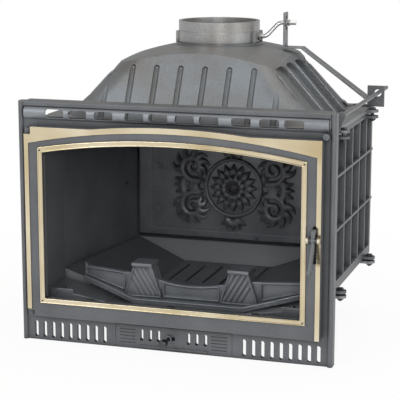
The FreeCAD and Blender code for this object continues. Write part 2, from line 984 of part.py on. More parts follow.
# Ash well under the tray and the ash pan that lifts out of it
well = block(-well_half, well_half, well_front, well_back, well_low, well_top)
well = well.cut(
    block(
        -well_half + well_sheet, well_half - well_sheet, well_front + well_sheet,
        well_back - well_sheet,
        well_low + well_sheet, well_top + overrun,
    )
)
well = well.cut(
    block(
        -inlet_half, inlet_half, well_front - overrun, well_front + well_sheet + overrun, inlet_low,
        inlet_high,
    ),
)
save("ash_well", well)
pan_gap = well_sheet + pan_clear
pan_low = well_low + well_sheet
pan_top = pan_low + pan_depth
pan = block(
    -well_half + pan_gap, well_half - pan_gap, well_front + pan_gap, well_back - pan_gap, pan_low,
    pan_top,
)
pan = pan.cut(
    block(
        -well_half + pan_gap + pan_sheet, well_half - pan_gap - pan_sheet,
        well_front + pan_gap + pan_sheet, well_back - pan_gap - pan_sheet, pan_low + pan_sheet,
        pan_top + overrun,
    )
)
save("ash_pan", pan)

# Log guard: a low folded fence on a ledge, with sunk panels and two fluted dogs
fence_front = guard_front + guard_fence
fence_back = fence_front + guard_thick
ledge_top = neck_low + guard_ledge
dip_low = neck_low + guard_dip
shoulder_high = neck_low + guard_shoulder
dip_rise = guard_shoulder - guard_dip
dip_radius = (dog_place ** 2 + dip_rise ** 2) / (2 * dip_rise)
sunk_half = dog_place - dog_foot_half - guard_border
sunk_top = dip_low + dip_radius - math.sqrt(dip_radius ** 2 - sunk_half ** 2) - guard_border
middle_fence = prism_y(
    [
        (-guard_half, neck_low), (guard_half, neck_low), (guard_half, shoulder_high),
        (dog_place, shoulder_high), ((0, dip_low), (-dog_place, shoulder_high)),
        (-guard_half, shoulder_high),
    ],
    fence_front, fence_back,
)
sunk_panel = prism_y(
    [
        (-sunk_half, ledge_top + guard_border), (sunk_half, ledge_top + guard_border),
        (sunk_half, sunk_top), ((0, dip_low - guard_border), (-sunk_half, sunk_top)),
    ],
    fence_front - overrun, fence_front + guard_sunk,
)
middle_fence = middle_fence.cut(sunk_panel)
middle_ledge = block(-guard_half, guard_half, guard_front, fence_back, neck_low, ledge_top)
tip_front = guard_front + guard_reach_back
tip_back = tip_front + guard_tip_depth
tip_low = neck_low + guard_tip_low
tip_high = neck_low + guard_tip_high
wing_length = guard_reach - guard_half


def carve(plan, face):
    """The body that has one outline seen from above and another seen from the front."""
    return prism_z(plan, neck_low, tip_high + guard_horn).common(prism_y(face, guard_front, tip_back))


wing_ledge = carve(
    [
        (guard_half, guard_front), (guard_reach, tip_front), (guard_reach, tip_back),
        (guard_half, fence_back),
    ],
    [
        (guard_half, neck_low), (guard_reach, tip_low), (guard_reach, tip_low + guard_ledge),
        (guard_half, ledge_top),
    ],
)
wing_fence = carve(
    [
        (guard_half, fence_front), (guard_reach, tip_back - guard_thick), (guard_reach, tip_back),
        (guard_half, fence_back),
    ],
    [
        (guard_half, neck_low), (guard_reach, tip_low), (guard_reach, tip_high + guard_horn),
        (guard_reach - guard_horn, tip_high), (guard_half, shoulder_high),
    ],
)


def wing_line(x, start, end):
    """A value that changes evenly along the wing."""
    return start + (end - start) * (x - guard_half) / wing_length


sunk_start = dog_place + dog_foot_half + guard_border
sunk_end = guard_reach - guard_border
plan = []
face = []
for x, y_shift, z_end in (
    (sunk_start, -overrun, "low"), (sunk_end, -overrun, "low"),
    (sunk_end, guard_sunk, "high"), (sunk_start, guard_sunk, "high"),
):
    plan.append((x, wing_line(x, fence_front, tip_back - guard_thick) + y_shift))
    low = wing_line(x, ledge_top, tip_low + guard_ledge) + guard_border
    high = wing_line(x, shoulder_high, tip_high) - guard_border
    face.append((x, low if z_end == "low" else high))
wing = wing_fence.cut(carve(plan, face)).fuse(wing_ledge)
dog_front = fence_front - dog_proud
dog_top = neck_low + dog_height
dog = prism_y(
    [
        (dog_place - dog_foot_half, ledge_top), (dog_place + dog_foot_half, ledge_top),
        (dog_place + dog_head_half, dog_top), (dog_place - dog_head_half, dog_top),
    ],
    dog_front, dog_front + dog_depth,
)
flutes = []
for k in range(dog_flute_count):
    offset = (k - (dog_flute_count - 1) / 2) * dog_flute_pitch
    groove = rod(AX, -dog_height, 0, 0, dog_flute_radius, 2 * dog_height)
    groove.rotate(V(0, 0, 0), AY, -dog_flute_angle)
    groove.translate(V(dog_place + offset, dog_front, (ledge_top + dog_top) / 2))
    flutes.append(groove)
dog = cut(dog, flutes)
cap_front = dog_front - dog_cap_proud
cap = block(
    dog_place - dog_cap_half, dog_place + dog_cap_half, cap_front, cap_front + dog_cap_depth, dog_top,
    dog_top + dog_cap_height,
)
log_guard = join([middle_fence, middle_ledge] + both(wing) + both(dog) + both(cap))
log_guard.translate(V(guard_offset, 0, 0))
save("log_guard", log_guard)

# Sill plates: sloped fillers in the lower corners of the neck, raised at the front
filler = prism_y(
    [
        (neck_half - sill_reach, neck_low), (neck_half, neck_low), (neck_half, neck_low + sill_rise),
        (neck_half - sill_reach, neck_low + sill_toe),
    ],
    rear_y + gap, neck_end,
)
sill = prism_x(
    [
        (rear_y + gap, neck_low), (rear_y + sill_depth, neck_low),
        (rear_y + sill_depth, neck_low + sill_thick), (rear_y + gap, neck_low + sill_rise),
    ],
    neck_half - sill_corner, neck_half,
)
trim_cut = prism_z(
    [
        (neck_half - sill_corner - overrun, rear_y - overrun),
        (neck_half - sill_corner, rear_y - overrun),
        (neck_half - overrun, rear_y + sill_depth + overrun),
        (neck_half - sill_corner - overrun, rear_y + sill_depth + overrun),
    ],
    neck_low - overrun, neck_low + sill_rise + overrun,
)
save("sill_plates", both(join([filler, sill.cut(trim_cut)])))

# Smoke baffle, lying on the linings' tops, with an upturned front edge
def lining_x(y):
    """Half width between the linings at a depth."""
    share = (y - neck_end) / (fireback_front - neck_end)
    return lining_front + share * (lining_back - lining_front)


half_front = lining_x(baffle_front) + lining_thick
half_back = lining_back + lining_thick
baffle = prism_z(
    [
        (-half_front, baffle_front), (half_front, baffle_front), (half_back, fireback_front),
        (-half_back, fireback_front),
    ],
    lining_high, lining_high + baffle_thick,
)
lip_high = lining_high + baffle_thick + baffle_lip
half_lip = lining_x(baffle_front)
lip = block(-half_lip, half_lip, baffle_front, baffle_front + baffle_thick, lining_high, lip_high)
save("smoke_baffle", join([baffle, lip]))

# Hood: a pyramid under a dome, with flutes in front and troughs on the sides
def pyramid(side, front, back, z0):
    """The hood's sloped faces, moved in by the wall on each side."""
    low = rounded(
        -hood_side_low + side, hood_side_low - side, hood_front_low + front, hood_back_low - back,
        hood_corner_low - side, z0,
    )
    high = rounded(
        -hood_side_high + side, hood_side_high - side, hood_front_high + front, hood_back_high - back,
        hood_corner_high - side, hood_pyramid_top,
    )
    return Part.makeLoft([low, high], True, True)


def dome(drop):
    """A body with a doubly curved top: one arc turned about a level axis under the flue."""
    top = dome_top - drop
    rise = dome_radius_x - math.sqrt(dome_radius_x ** 2 - dome_half ** 2)
    points = [
        (-dome_half, top - dome_depth), (dome_half, top - dome_depth), (dome_half, top - rise),
        ((0, top), (-dome_half, top - rise)),
    ]
    face = Part.Face(outline(points, lambda x, z: V(x, flue_y, z)))
    centre = V(0, flue_y, top - dome_radius_y)
    swing = math.degrees(math.asin(dome_half / dome_radius_y))
    face.rotate(centre, AX, swing)
    return face.revolve(centre, -AX, 2 * swing)


shell = pyramid(0, 0, 0, hood_low).common(dome(0))
seat = rod(
    AZ, 0, flue_y, dome_top - dome_wall - dome_half / 4, seat_radius,
    seat_top - dome_top + dome_wall + dome_half / 4,
)
shell = shell.fuse(seat)
rise = hood_pyramid_top - hood_low
front_run = hood_front_high - hood_front_low
up = V(0, front_run, rise)
up.normalize()
out = V(0, -up.z, up.y)
tools = []


def flute(x, top):
    """A half-round groove that runs up the hood's front and ends in a ball."""
    share = (top - hood_low) / rise
    foot = V(x, hood_front_low, hood_low) - up * flute_radius + out * (flute_radius - flute_depth)
    head = V(x, hood_front_low + share * front_run, top) + out * (flute_radius - flute_depth)
    groove = Part.makeCylinder(flute_radius, foot.distanceToPoint(head), foot, up)
    return groove.fuse(Part.makeSphere(flute_radius, head))


for x in flute_places:
    tools += both(flute(x, flute_top))
tools += both(flute(flute_outer_place, flute_outer_top))
side_run = hood_side_low - hood_side_high
climb = V(-side_run, 0, rise)
climb.normalize()
away = V(climb.z, 0, -climb.x)
length = (trough_top - hood_low) * climb.Length / climb.z
for k in range(trough_count):
    y0 = trough_first + k * trough_pitch + trough_ridge / 2
    y1 = trough_first + (k + 1) * trough_pitch - trough_ridge / 2
    start = V(hood_side_low, y0, hood_low) - away * trough_depth
    bend = trough_round * (1 - math.sqrt(1 / 2))
    width = y1 - y0
    points = [
        (0, 0), (width, 0), (width, length - trough_round),
        ((width - bend, length - bend), (width - trough_round, length)), (trough_round, length),
        ((bend, length - bend), (0, length - trough_round)),
    ]
    wire = outline(points, lambda u, v: start + AY * u + climb * v)
    trough = Part.Face(wire).extrude(away * (trough_depth + flute_radius))
    tools += both(trough)
shell = cut(shell, tools)
flange = block(-flange_half, flange_half, flange_front, flange_back, hood_base, hood_low)
ears = [s for e in hood_ears for s in both(e)]
hood = join([flange, shell] + ears)
hollow = pyramid(hood_side_wall, hood_front_wall, hood_back_wall, hood_base - overrun).common(
    dome(dome_wall),
)
mouth = rod(
    AZ, 0, flue_y, dome_top - dome_half / 4, collar_bore, seat_top - dome_top + dome_half / 4 + overrun,
)
bolt_holes = []
for y in (ear_front, ear_back):
    hole = rod(AZ, ear_x, y, hood_base - overrun, bolt_radius, flange_thick + 2 * overrun)
    head_seat = block(
        rib_outer, flange_half + overrun, y - ear_half, y + ear_half, hood_base + ear_thick,
        hood_low + overrun,
    )
    bolt_holes += both(hole) + both(head_seat)
hood = cut(hood, [hollow, mouth] + bolt_holes)
save("hood", hood)
ring = block(
    -rib_outer, rib_outer, neck_end - neck_flange, wall_back + back_thick, wall_high, hood_base,
)
ring = ring.cut(
    block(-wall_inner, wall_inner, neck_end, wall_back, wall_high - overrun, hood_base + overrun),
)
save("hood_gasket", ring)

# Flue collar on the hood's seat, with shaft bosses and lugs
collar = rod(AZ, 0, flue_y, seat_top, collar_radius, collar_top - seat_top)
spigot = rod(AZ, 0, flue_y, seat_top - spigot_depth, collar_bore - gap, spigot_depth)
foot_band = rod(AZ, 0, flue_y, seat_top, collar_radius + collar_band, collar_band_height)
collar = collar.fuse(foot_band).fuse(spigot)
lugs = []
for angle in collar_lug_angles:
    lug = block(
        collar_bore + gap, collar_radius + collar_lug_reach, -collar_lug_width / 2,
        collar_lug_width / 2,
        seat_top, seat_top + collar_lug_height,
    )
    lug.rotate(V(0, 0, 0), AZ, angle)
    lug.translate(V(0, flue_y, 0))
    lugs.append(lug)
boss_run = collar_radius + boss_reach
boss = rod(AX, collar_bore, flue_y, shaft_height, boss_radius, boss_run - collar_bore)
collar = join([collar] + lugs + both(boss))
collar = collar.cut(
    rod(AZ, 0, flue_y, seat_top - spigot_depth - overrun, collar_inside, collar_top),
)
collar = collar.cut(rod(AX, -half_width, flue_y, shaft_height, shaft_radius + run_clear, front_width))
save("flue_collar", collar)

# Damper shaft: a bar bent to a crank on the right
step = crank_end - crank_start
slant = math.hypot(step, crank_radius)
dx = crank_bend * step / slant
dz = crank_bend * crank_radius / slant


def bend(corner, before, after):
    """The three points of a rounded corner of the bar."""
    middle = (corner * 2 + before + after) / 4
    return before, middle, after


p0 = V(gap - boss_run, 0, 0)
c1 = V(crank_start, 0, 0)
c2 = V(crank_end, 0, crank_radius)
p1 = V(crank_tip, 0, crank_radius)
a1, m1, b1 = bend(c1, c1 - V(crank_bend, 0, 0), c1 + V(dx, 0, dz))
a2, m2, b2 = bend(c2, c2 - V(dx, 0, dz), c2 + V(crank_bend, 0, 0))
path = Part.Wire([
    Part.makeLine(p0, a1), Part.Arc(a1, m1, b1).toShape(), Part.makeLine(b1, a2),
    Part.Arc(a2, m2, b2).toShape(), Part.makeLine(b2, p1),
])
ring = Part.Wire([Part.makeCircle(shaft_radius, p0, AX)])
shaft = path.makePipeShell([ring], True, True)
shaft.rotate(V(0, 0, 0), AX, -crank_tilt)
plate = rod(AZ, 0, 0, shaft_radius, damper_radius, damper_thick)
screws = []
screw_holes = []
for x in (damper_screw_place, -damper_screw_place):
    top = shaft_radius + damper_thick
    shank = rod(-AZ, x, 0, top, damper_screw_radius, top + shaft_radius + damper_head_height)
    screw_holes.append(shank.copy())
    head = rod(AZ, x, 0, top, damper_head_radius, damper_head_height)
    nut = rod(-AZ, x, 0, -shaft_radius, damper_head_radius, damper_head_height)
    screws.append(join([shank, head, nut]))
for shape in [plate] + screws + screw_holes:
    shape.rotate(V(0, 0, 0), AX, damper_tilt)
plate = cut(plate, screw_holes)
shaft = cut(shaft, screw_holes)
hub = V(0, flue_y, shaft_height)
for shape in [plate, shaft] + screws:
    shape.translate(hub)
save("damper_plate", plate)
save("damper_shaft", shaft)
save("damper_screws", screws)
washers = []
strap_left = strap_upright_x - strap_thick / 2
strap_right = strap_upright_x + strap_thick / 2
for x in (strap_left - gap - washer_thick, strap_right + gap):
    washer = rod(AX, x, crank_y, crank_z, washer_radius, washer_thick)
    washers.append(
        washer.cut(
            rod(
                AX, x - overrun, crank_y, crank_z, shaft_radius + run_clear, washer_thick + 2 * overrun,
            ),
        ),
    )
corners = []
for k in range(6):
    a = math.radians(60 * k)
    corners.append((crank_y + nut_radius * math.cos(a), crank_z + nut_radius * math.sin(a)))
nut_x = strap_right + gap + washer_thick
nut = prism_x(corners, nut_x, nut_x + nut_thick)
washers.append(
    nut.cut(
        rod(AX, nut_x - overrun, crank_y, crank_z, shaft_radius + run_clear, nut_thick + 2 * overrun),
    ),
)
save("crank_nut", washers)

# Damper control: knob, pull rod, offset lug, side rod and slotted strap
knob = rod(AY, pull_x, pull_knob_front, pull_height, pull_knob_radius, pull_knob_length)
knob = knob.makeFillet(
    pull_knob_round,
    [
        e
        for e in knob.Edges
        if len(e.Vertexes) == 1 and e.CenterOfMass.y < pull_knob_front + pull_knob_length / 2
    ],
)
save("control_knob", knob)
pull_start = pull_knob_front + pull_knob_length
save("pull_rod", rod(AY, pull_x, pull_start, pull_height, pull_radius, lug_front - pull_start))
lug_ends = []
for x, z in ((pull_x, pull_height), (side_rod_x, side_rod_height)):
    lug_ends.append(rod(AY, x, lug_front, z, lug_radius, lug_thick))
span = V(side_rod_x - pull_x, 0, side_rod_height - pull_height)
side = V(span.z, 0, -span.x)
side.normalize()
side = side * lug_radius
c0 = V(pull_x, lug_front, pull_height)
c1 = V(side_rod_x, lug_front, side_rod_height)
web = Part.Face(Part.makePolygon([c0 + side, c1 + side, c1 - side, c0 - side, c0 + side])).extrude(
    V(0, lug_thick, 0),
)
save("offset_lug", join([web] + lug_ends))
bolts = []
for share in (1 / 4, 3 / 4):
    place = c0 + span * share
    bolts.append(rod(AY, place.x, lug_front + lug_thick, place.z, lug_bolt_radius, lug_bolt_length))
save("lug_bolts", bolts)
rod_start = lug_front + lug_thick
side_rod = rod(
    AY, side_rod_x, rod_start, side_rod_height, pull_radius, side_rod_back - pull_radius - rod_start,
)
side_rod = side_rod.fuse(
    Part.makeSphere(pull_radius, V(side_rod_x, side_rod_back - pull_radius, side_rod_height)),
)
save("side_rod", side_rod)
strap_front = strap_y - strap_width / 2
strap_rear = strap_y + strap_width / 2
rod_side = side_rod_x - pull_radius
knee_low = strap_knee_high - strap_thick
strap = prism_y(
    [
        (strap_left, strap_top), (strap_right, strap_top), (strap_right, strap_knee_high),
        (strap_knee_x, strap_knee_high), (rod_side, side_rod_height + strap_thick),
        (rod_side, side_rod_height - strap_thick),
        (strap_knee_x - strap_thick / 2, knee_low), (strap_left, knee_low),
    ],
    strap_front, strap_rear,
)
r = strap_slot_width / 2
points = [
    (strap_y - r, strap_slot_low + r), ((strap_y, strap_slot_low), (strap_y + r, strap_slot_low + r)),
    (strap_y + r, strap_slot_high - r),
    ((strap_y, strap_slot_high), (strap_y - r, strap_slot_high - r)),
]
strap = strap.cut(prism_x(points, strap_left - overrun, strap_right + overrun))
save("strap", strap)
guide = block(guide_left, guide_right, guide_y, guide_y + guide_thick, hood_low, guide_top)
foot = block(
    guide_left - guide_foot, guide_left + guide_thick, guide_y - guide_thick, guide_y + 2 * guide_thick,
    hood_low, hood_low + guide_thick,
)
guide = guide.fuse(foot)
guide = guide.cut(
    rod(AY, side_rod_x, guide_y - overrun, side_rod_height, guide_hole, guide_thick + 2 * overrun),
)
save("rod_guide", guide)

# Door: cast frame with rim, ribs for the rope and lands for the clips
door_points = [
    (-door_half, door_low), (door_half, door_low), (door_half, door_top), (door_bump_half, door_top),
    ((0, door_crown), (-door_bump_half, door_top)), (-door_half, door_top),
]
inset = door_half - door_rim
rim_points = [
    (-inset, door_low + door_rim), (inset, door_low + door_rim), (inset, door_top - door_rim),
    (door_bump_half, door_top - door_rim),
    ((0, door_crown - door_rim), (-door_bump_half, door_top - door_rim)),
    (-inset, door_top - door_rim),
]


def rope_loop(offset, y0, y1):
    """The rope's track, grown or shrunk by an offset."""
    return prism_y(
        arched(rope_half + offset, rope_low - offset, rope_corner + offset, rope_crown + offset), y0,
        y1,
    )


half_rope = rope_width / 2
door = prism_y(door_points, door_front, plate_back)
rim = prism_y(door_points, plate_back, door_back).cut(
    prism_y(rim_points, plate_back - overrun, door_back + overrun),
)
rib_out = rope_loop(half_rope + rope_rib, plate_back, rope_rib_back).cut(
    rope_loop(half_rope, plate_back - overrun, rope_rib_back + overrun),
)
rib_in = rope_loop(-half_rope, plate_back, rope_rib_back).cut(
    rope_loop(-half_rope - rope_rib, plate_back - overrun, rope_rib_back + overrun),
)
glass_back = plate_back + glass_gasket + glass_thick
sight_rise = sight_crown - sight_corner
sight_radius = (sight_half ** 2 + sight_rise ** 2) / (2 * sight_rise)


def arch_height(x):
    """Height of the sight opening's arch at a distance from the middle."""
    return sight_crown - sight_radius + math.sqrt(sight_radius ** 2 - x ** 2)


lands = []
clips = []
clip_screws = []
clip_screw_holes = []
for share in clip_shares:
    x = share * sight_half
    low_edge = sight_low - glass_lap - gap
    high_edge = arch_height(x) + glass_lap + 2 * gap
    if x != 0:
        high_edge = arch_height(abs(x) - clip_half) + glass_lap + 2 * gap
    for edge, way in ((low_edge, -1), (high_edge, 1)):
        z0, z1 = sorted((edge, edge + way * clip_land))
        lands.append(block(x - clip_half, x + clip_half, plate_back, glass_back, z0, z1))
        z2, z3 = sorted((edge + way * clip_land, edge + way * (clip_land - clip_length)))
        screw_z = edge + way * clip_land / 2
        hole = rod(
            AY, x, plate_back + gap, screw_z, clip_screw_radius,
            glass_back + clip_thick - plate_back - gap,
        )
        clip_screw_holes.append(hole)
        clip = block(x - clip_half, x + clip_half, glass_back, glass_back + clip_thick, z2, z3)
        clips.append(clip.cut(hole))
        head = rod(AY, x, glass_back + clip_thick, screw_z, clip_screw_head, clip_screw_height)
        clip_screws.append(hole.fuse(head))
barrels = []
bores = []
low_notch = hinge_lug_low + hinge_lug_thick + gap
high_notch = hinge_lug_high - hinge_lug_thick - gap
for z in (low_notch, high_notch - hinge_barrel_length):
    barrels.append(
        block(
            -door_half, hinge_barrel_right, plate_back, hinge_barrel_back, z, z + hinge_barrel_length,
        ),
    )
    bores.append(
        rod(
            AZ, hinge_x, hinge_y, z - overrun, hinge_pin_radius + run_clear,
            hinge_barrel_length + 2 * overrun,
        ),
    )
notch_right = -door_half + hinge_notch
notches = [
    block(
        -door_half - overrun, notch_right, door_front - overrun, overrun, door_low - overrun, low_notch,
    ),
    block(-door_half - overrun, notch_right, door_front - overrun, overrun, high_notch, door_crown),
]
sight = prism_y(
    arched(sight_half, sight_low, sight_corner, sight_crown), door_front - overrun,
    plate_back + overrun,
)
handle_slot = slot_y(
    handle_x, handle_slot_low, handle_slot_high, 2 * handle_slot_half,
    door_front - trim_thick - overrun, plate_back + overrun,
)
door = join([door, rim, rib_out, rib_in] + lands + barrels)
door = cut(door, [sight, handle_slot] + notches + bores + clip_screw_holes)
save("door_frame", door)
save("glass_clips", clips)
save("clip_screws", clip_screws)
glass_points = arched(
    sight_half + glass_lap, sight_low - glass_lap, sight_corner + glass_lap, sight_crown + glass_lap,
)
glass_front = plate_back + glass_gasket
save("glass_pane", prism_y(glass_points, glass_front, glass_back))
tape = prism_y(glass_points, plate_back, glass_front)
tape = tape.cut(
    prism_y(
        arched(sight_half, sight_low, sight_corner, sight_crown), plate_back - overrun,
        glass_front + overrun,
    ),
)
save("glass_gasket", tape)
rope_deep = half_rope - gap
rope = rope_loop(rope_deep, plate_back, rope_back).cut(
    rope_loop(-rope_deep, plate_back - overrun, rope_back + overrun),
)
save("door_rope_seal", rope)

# Brass trims on the door's face
trim_front = door_front - trim_thick
band = trim_inner_band
inner_points = arched(sight_half, sight_low, sight_corner, sight_crown)
wide_points = arched(
    sight_half + band, sight_low - band, sight_corner + band - trim_inner_rise, sight_crown + band,
)
inner_trim = prism_y(wide_points, trim_front, door_front)
inner_trim = inner_trim.cut(prism_y(inner_points, trim_front - overrun, door_front + overrun))
save("inner_trim", inner_trim)
outer_trim = prism_y(door_points, trim_front, door_front)
reach = door_half - trim_outer_band
lower = arched(reach, door_low - overrun, trim_spring, trim_spring_crown)
left_end = block(
    -door_half - overrun, -reach + overrun, trim_front - overrun, door_front + overrun,
    door_low - overrun, trim_left_end,
)
outer_trim = cut(
    outer_trim,
    [prism_y(lower, trim_front - overrun, door_front + overrun), handle_slot, left_end] + notches,
)
save("outer_trim", outer_trim)
screws = []
inset = trim_screw_inset
low_z = sight_low - inset
high_z = sight_corner + inset - trim_inner_rise
for z in (low_z, high_z):
    head = rod(-AY, sight_half + inset, trim_front, z, trim_screw_radius, trim_screw_height)
    screws += both(head)
save("trim_screws", screws)

# Handle: bracket ears, pin with brass caps, and the lever whose nose reaches through the door
ear_inner = handle_half + handle_ear_gap
ears = []
caps = []
for way, base in ((-1, door_front), (1, trim_front)):
    x0, x1 = sorted((handle_x + way * ear_inner, handle_x + way * (ear_inner + handle_ear_thick)))
    points = [
        (base, handle_height - handle_ear_radius), (handle_y, handle_height - handle_ear_radius),
        ((handle_y - handle_ear_radius, handle_height), (handle_y, handle_height + handle_ear_radius)),
        (base, handle_height + handle_ear_radius),
    ]
    ear_plate = prism_x(points, x0, x1)
    ears.append(
        ear_plate.cut(
            rod(
                AX, x0 - overrun, handle_y, handle_height, handle_pin_radius,
                handle_ear_thick + 2 * overrun,
            ),
        ),
    )
    outer_face = handle_x + way * (ear_inner + handle_ear_thick)
    caps.append(
        rod(AX * way, outer_face, handle_y, handle_height, handle_cap_radius, handle_cap_length),
    )
save("handle_bracket", ears)
pin_half = ear_inner + handle_ear_thick
pin = rod(AX, handle_x - pin_half, handle_y, handle_height, handle_pin_radius, 2 * pin_half)
save("handle_pin", join([pin] + caps))
x0 = handle_x - handle_half
x1 = handle_x + handle_half
hub = rod(AX, x0, handle_y, handle_height, handle_boss_radius, 2 * handle_half)
eye = rod(AX, x0, handle_end_y, handle_end_height, handle_eye_radius, 2 * handle_half)
bow_y = (handle_y + handle_end_y) / 2 + handle_arm_half
bow_z = (handle_height + handle_end_height) / 2
h = handle_arm_half
arm = prism_x(
    [
        (handle_y - h, handle_height), ((bow_y - h, bow_z), (handle_end_y - h, handle_end_height)),
        (handle_end_y + h, handle_end_height), ((bow_y + h, bow_z), (handle_y + h, handle_height)),
    ],
    x0, x1,
)
nose_low = handle_nose_height - handle_nose_thick / 2
nose_high = handle_nose_height + handle_nose_thick / 2
nose = prism_x(
    [
        (handle_y - h, handle_height), (handle_y - h, nose_high - h), (handle_y, nose_high),
        (handle_nose_back, nose_high), (handle_nose_back, nose_low), (handle_y + h, nose_low),
        (handle_y + h, handle_height),
    ],
    x0, x1,
)
lever = join([hub, eye, arm, nose])
lever = lever.cut(
    rod(
        AX, x0 - overrun, handle_y, handle_height, handle_pin_radius + run_clear,
        2 * handle_half + 2 * overrun,
    ),
)
lever = lever.cut(
    rod(
        AX, x0 - overrun, handle_end_y, handle_end_height, handle_eye_hole,
        2 * handle_half + 2 * overrun,
    ),
)
save("handle_lever", lever)
keeper = block(
    handle_x - keeper_half, handle_x + keeper_half, keeper_front, front_y, keeper_low, keeper_high,
)
save("latch_keeper", keeper)

# Rear legs under the tray's rim
leg_top = wall_low - overrun
post = block(leg_x - leg_half, leg_x + leg_half, leg_y, leg_y + leg_half, 0, leg_top)
foot = block(
    leg_x - leg_foot_half, leg_x + leg_foot_half, leg_y - leg_half, leg_y + leg_foot_half, 0,
    leg_foot_thick,
)
leg = join([post, foot]).cut(bowl)
save("rear_legs", both(leg))
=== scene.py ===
"""Finishes and small pieces for a cast fireplace insert, laid out as an add-on and run as a script."""

import json
import math

import bpy
import numpy as np
from bpy.props import FloatProperty, FloatVectorProperty, PointerProperty
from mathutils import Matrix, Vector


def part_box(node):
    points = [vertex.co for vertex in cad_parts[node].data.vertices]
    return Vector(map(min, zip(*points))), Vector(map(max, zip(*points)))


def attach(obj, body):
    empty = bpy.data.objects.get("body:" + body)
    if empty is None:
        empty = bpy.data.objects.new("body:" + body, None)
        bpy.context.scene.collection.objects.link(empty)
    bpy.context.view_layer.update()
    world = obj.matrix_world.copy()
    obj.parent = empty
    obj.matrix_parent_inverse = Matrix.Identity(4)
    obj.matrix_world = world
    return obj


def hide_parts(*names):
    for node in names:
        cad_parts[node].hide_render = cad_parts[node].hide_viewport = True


bl_info = {
    "name": "Fireplace insert finishes",
    "version": (1, 0, 0),
    "blender": (4, 5, 0),
    "location": "View3D > Sidebar > Insert",
    "description": "Stove paint, brass and small pieces for a cast fireplace insert",
    "category": "Object",
}

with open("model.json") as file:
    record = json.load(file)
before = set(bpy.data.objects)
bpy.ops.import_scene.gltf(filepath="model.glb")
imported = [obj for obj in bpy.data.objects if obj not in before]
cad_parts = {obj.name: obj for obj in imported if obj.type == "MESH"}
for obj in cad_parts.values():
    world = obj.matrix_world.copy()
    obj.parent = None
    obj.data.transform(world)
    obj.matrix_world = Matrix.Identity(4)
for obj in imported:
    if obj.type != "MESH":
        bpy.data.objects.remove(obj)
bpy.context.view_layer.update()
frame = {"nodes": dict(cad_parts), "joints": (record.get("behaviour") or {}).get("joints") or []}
NODES = frame["nodes"]
JOINTS = {joint["name"]: joint for joint in frame["joints"]}
MM = 0.001
TURN = 2 * math.pi
# Height of the sight opening's upper corners, from which the door's arches are set out
SIGHT_CORNER = 456 * MM


# Colours and nodes

# Colour sockets of a Mix node, whose sockets of other kinds have the same names
MIX_A, MIX_B, MIX_RESULT = 6, 7, 2


def linear(code):
    """An sRGB hex colour as linear red, green and blue."""
    srgb = np.array([int(code[i:i + 2], 16) for i in (1, 3, 5)]) / 255
    return tuple(np.where(srgb <= 0.04045, srgb / 12.92, ((srgb + 0.055) / 1.055) ** 2.4).tolist())


def rgba(colour):
    """A colour with full opacity."""
    return (*colour[:3], 1.0)


def add(tree, kind, inputs=None, **settings):
    """Adds a node: settings are its own properties, inputs are socket values or (node, output) links."""
    made = tree.nodes.new(kind)
    for key, value in settings.items():
        setattr(made, key, value)
    for key, value in (inputs or {}).items():
        if isinstance(value, tuple) and isinstance(value[0], bpy.types.Node):
            tree.links.new(value[0].outputs[value[1]], made.inputs[key])
        else:
            made.inputs[key].default_value = value
    return made


def new_material(name):
    """An empty node material and its tree."""
    made = bpy.data.materials.new(name)
    made.use_nodes = True
    made.node_tree.nodes.clear()
    return made, made.node_tree


# Surfaces

# A direction that no axis here lies along
ASKEW = (0.3, 0.5, 0.8)
# Height of a nut's chamfer as a share of its height, and radius of its face as a share of its width
CHAMFER_SHARE, FACE_SHARE = 0.12, 0.48


def closed_faces(count, around, looped):
    """Corner numbers of the quads of a grid that closes around, and of the fans on its open ends."""
    index = np.arange(count * around).reshape(count, around)
    ahead = np.roll(index, -1, axis=0) if looped else index[1:]
    here = index if looped else index[:-1]
    corners = [here, np.roll(here, -1, axis=1), np.roll(ahead, -1, axis=1), ahead]
    quads = np.stack(corners, axis=-1).reshape(-1, 4)
    if looped:
        return quads, np.zeros((0, 3), int)
    first, last = index[0], index[-1]
    total = count * around
    low = np.stack([np.full(around, total), np.roll(first, -1), first], axis=-1)
    high = np.stack([np.full(around, total + 1), last, np.roll(last, -1)], axis=-1)
    return quads, np.concatenate([low, high])


def outward(points, quads, tris):
    """Turns the faces round where the closed shell's signed volume is negative."""
    volume = 0.0
    for faces in (quads[:, [0, 1, 2]], quads[:, [0, 2, 3]], tris):
        a, b, c = (points[faces[:, k]] for k in range(3))
        volume += np.einsum("ij,ij->i", a, np.cross(b, c)).sum()
    return (quads, tris) if volume > 0 else (quads[:, ::-1], tris[:, ::-1])


def piece(name, grids, material, body, looped=False, smooth=True):
    """One object from closed grids, each an array of sections by points around by three."""
    points, quads, tris, start = [], [], [], 0
    for grid in grids:
        count, around = grid.shape[:2]
        flat = grid.reshape(-1, 3)
        if not looped:
            flat = np.concatenate([flat, grid[:1].mean(axis=1), grid[-1:].mean(axis=1)])
        sides, ends = outward(flat, *closed_faces(count, around, looped))
        points.append(flat)
        quads.append(sides + start)
        tris.append(ends + start)
        start += len(flat)
    points, quads, tris = (np.concatenate(x) for x in (points, quads, tris))
    mesh = bpy.data.meshes.new(name)
    mesh.from_pydata(points.tolist(), [], quads.tolist() + tris.tolist())
    mesh.polygons.foreach_set("use_smooth", np.full(len(mesh.polygons), smooth))
    mesh.materials.append(material)
    mesh.update()
    made = bpy.data.objects.new(name, mesh)
    bpy.context.scene.collection.objects.link(made)
    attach(made, body)
    return made


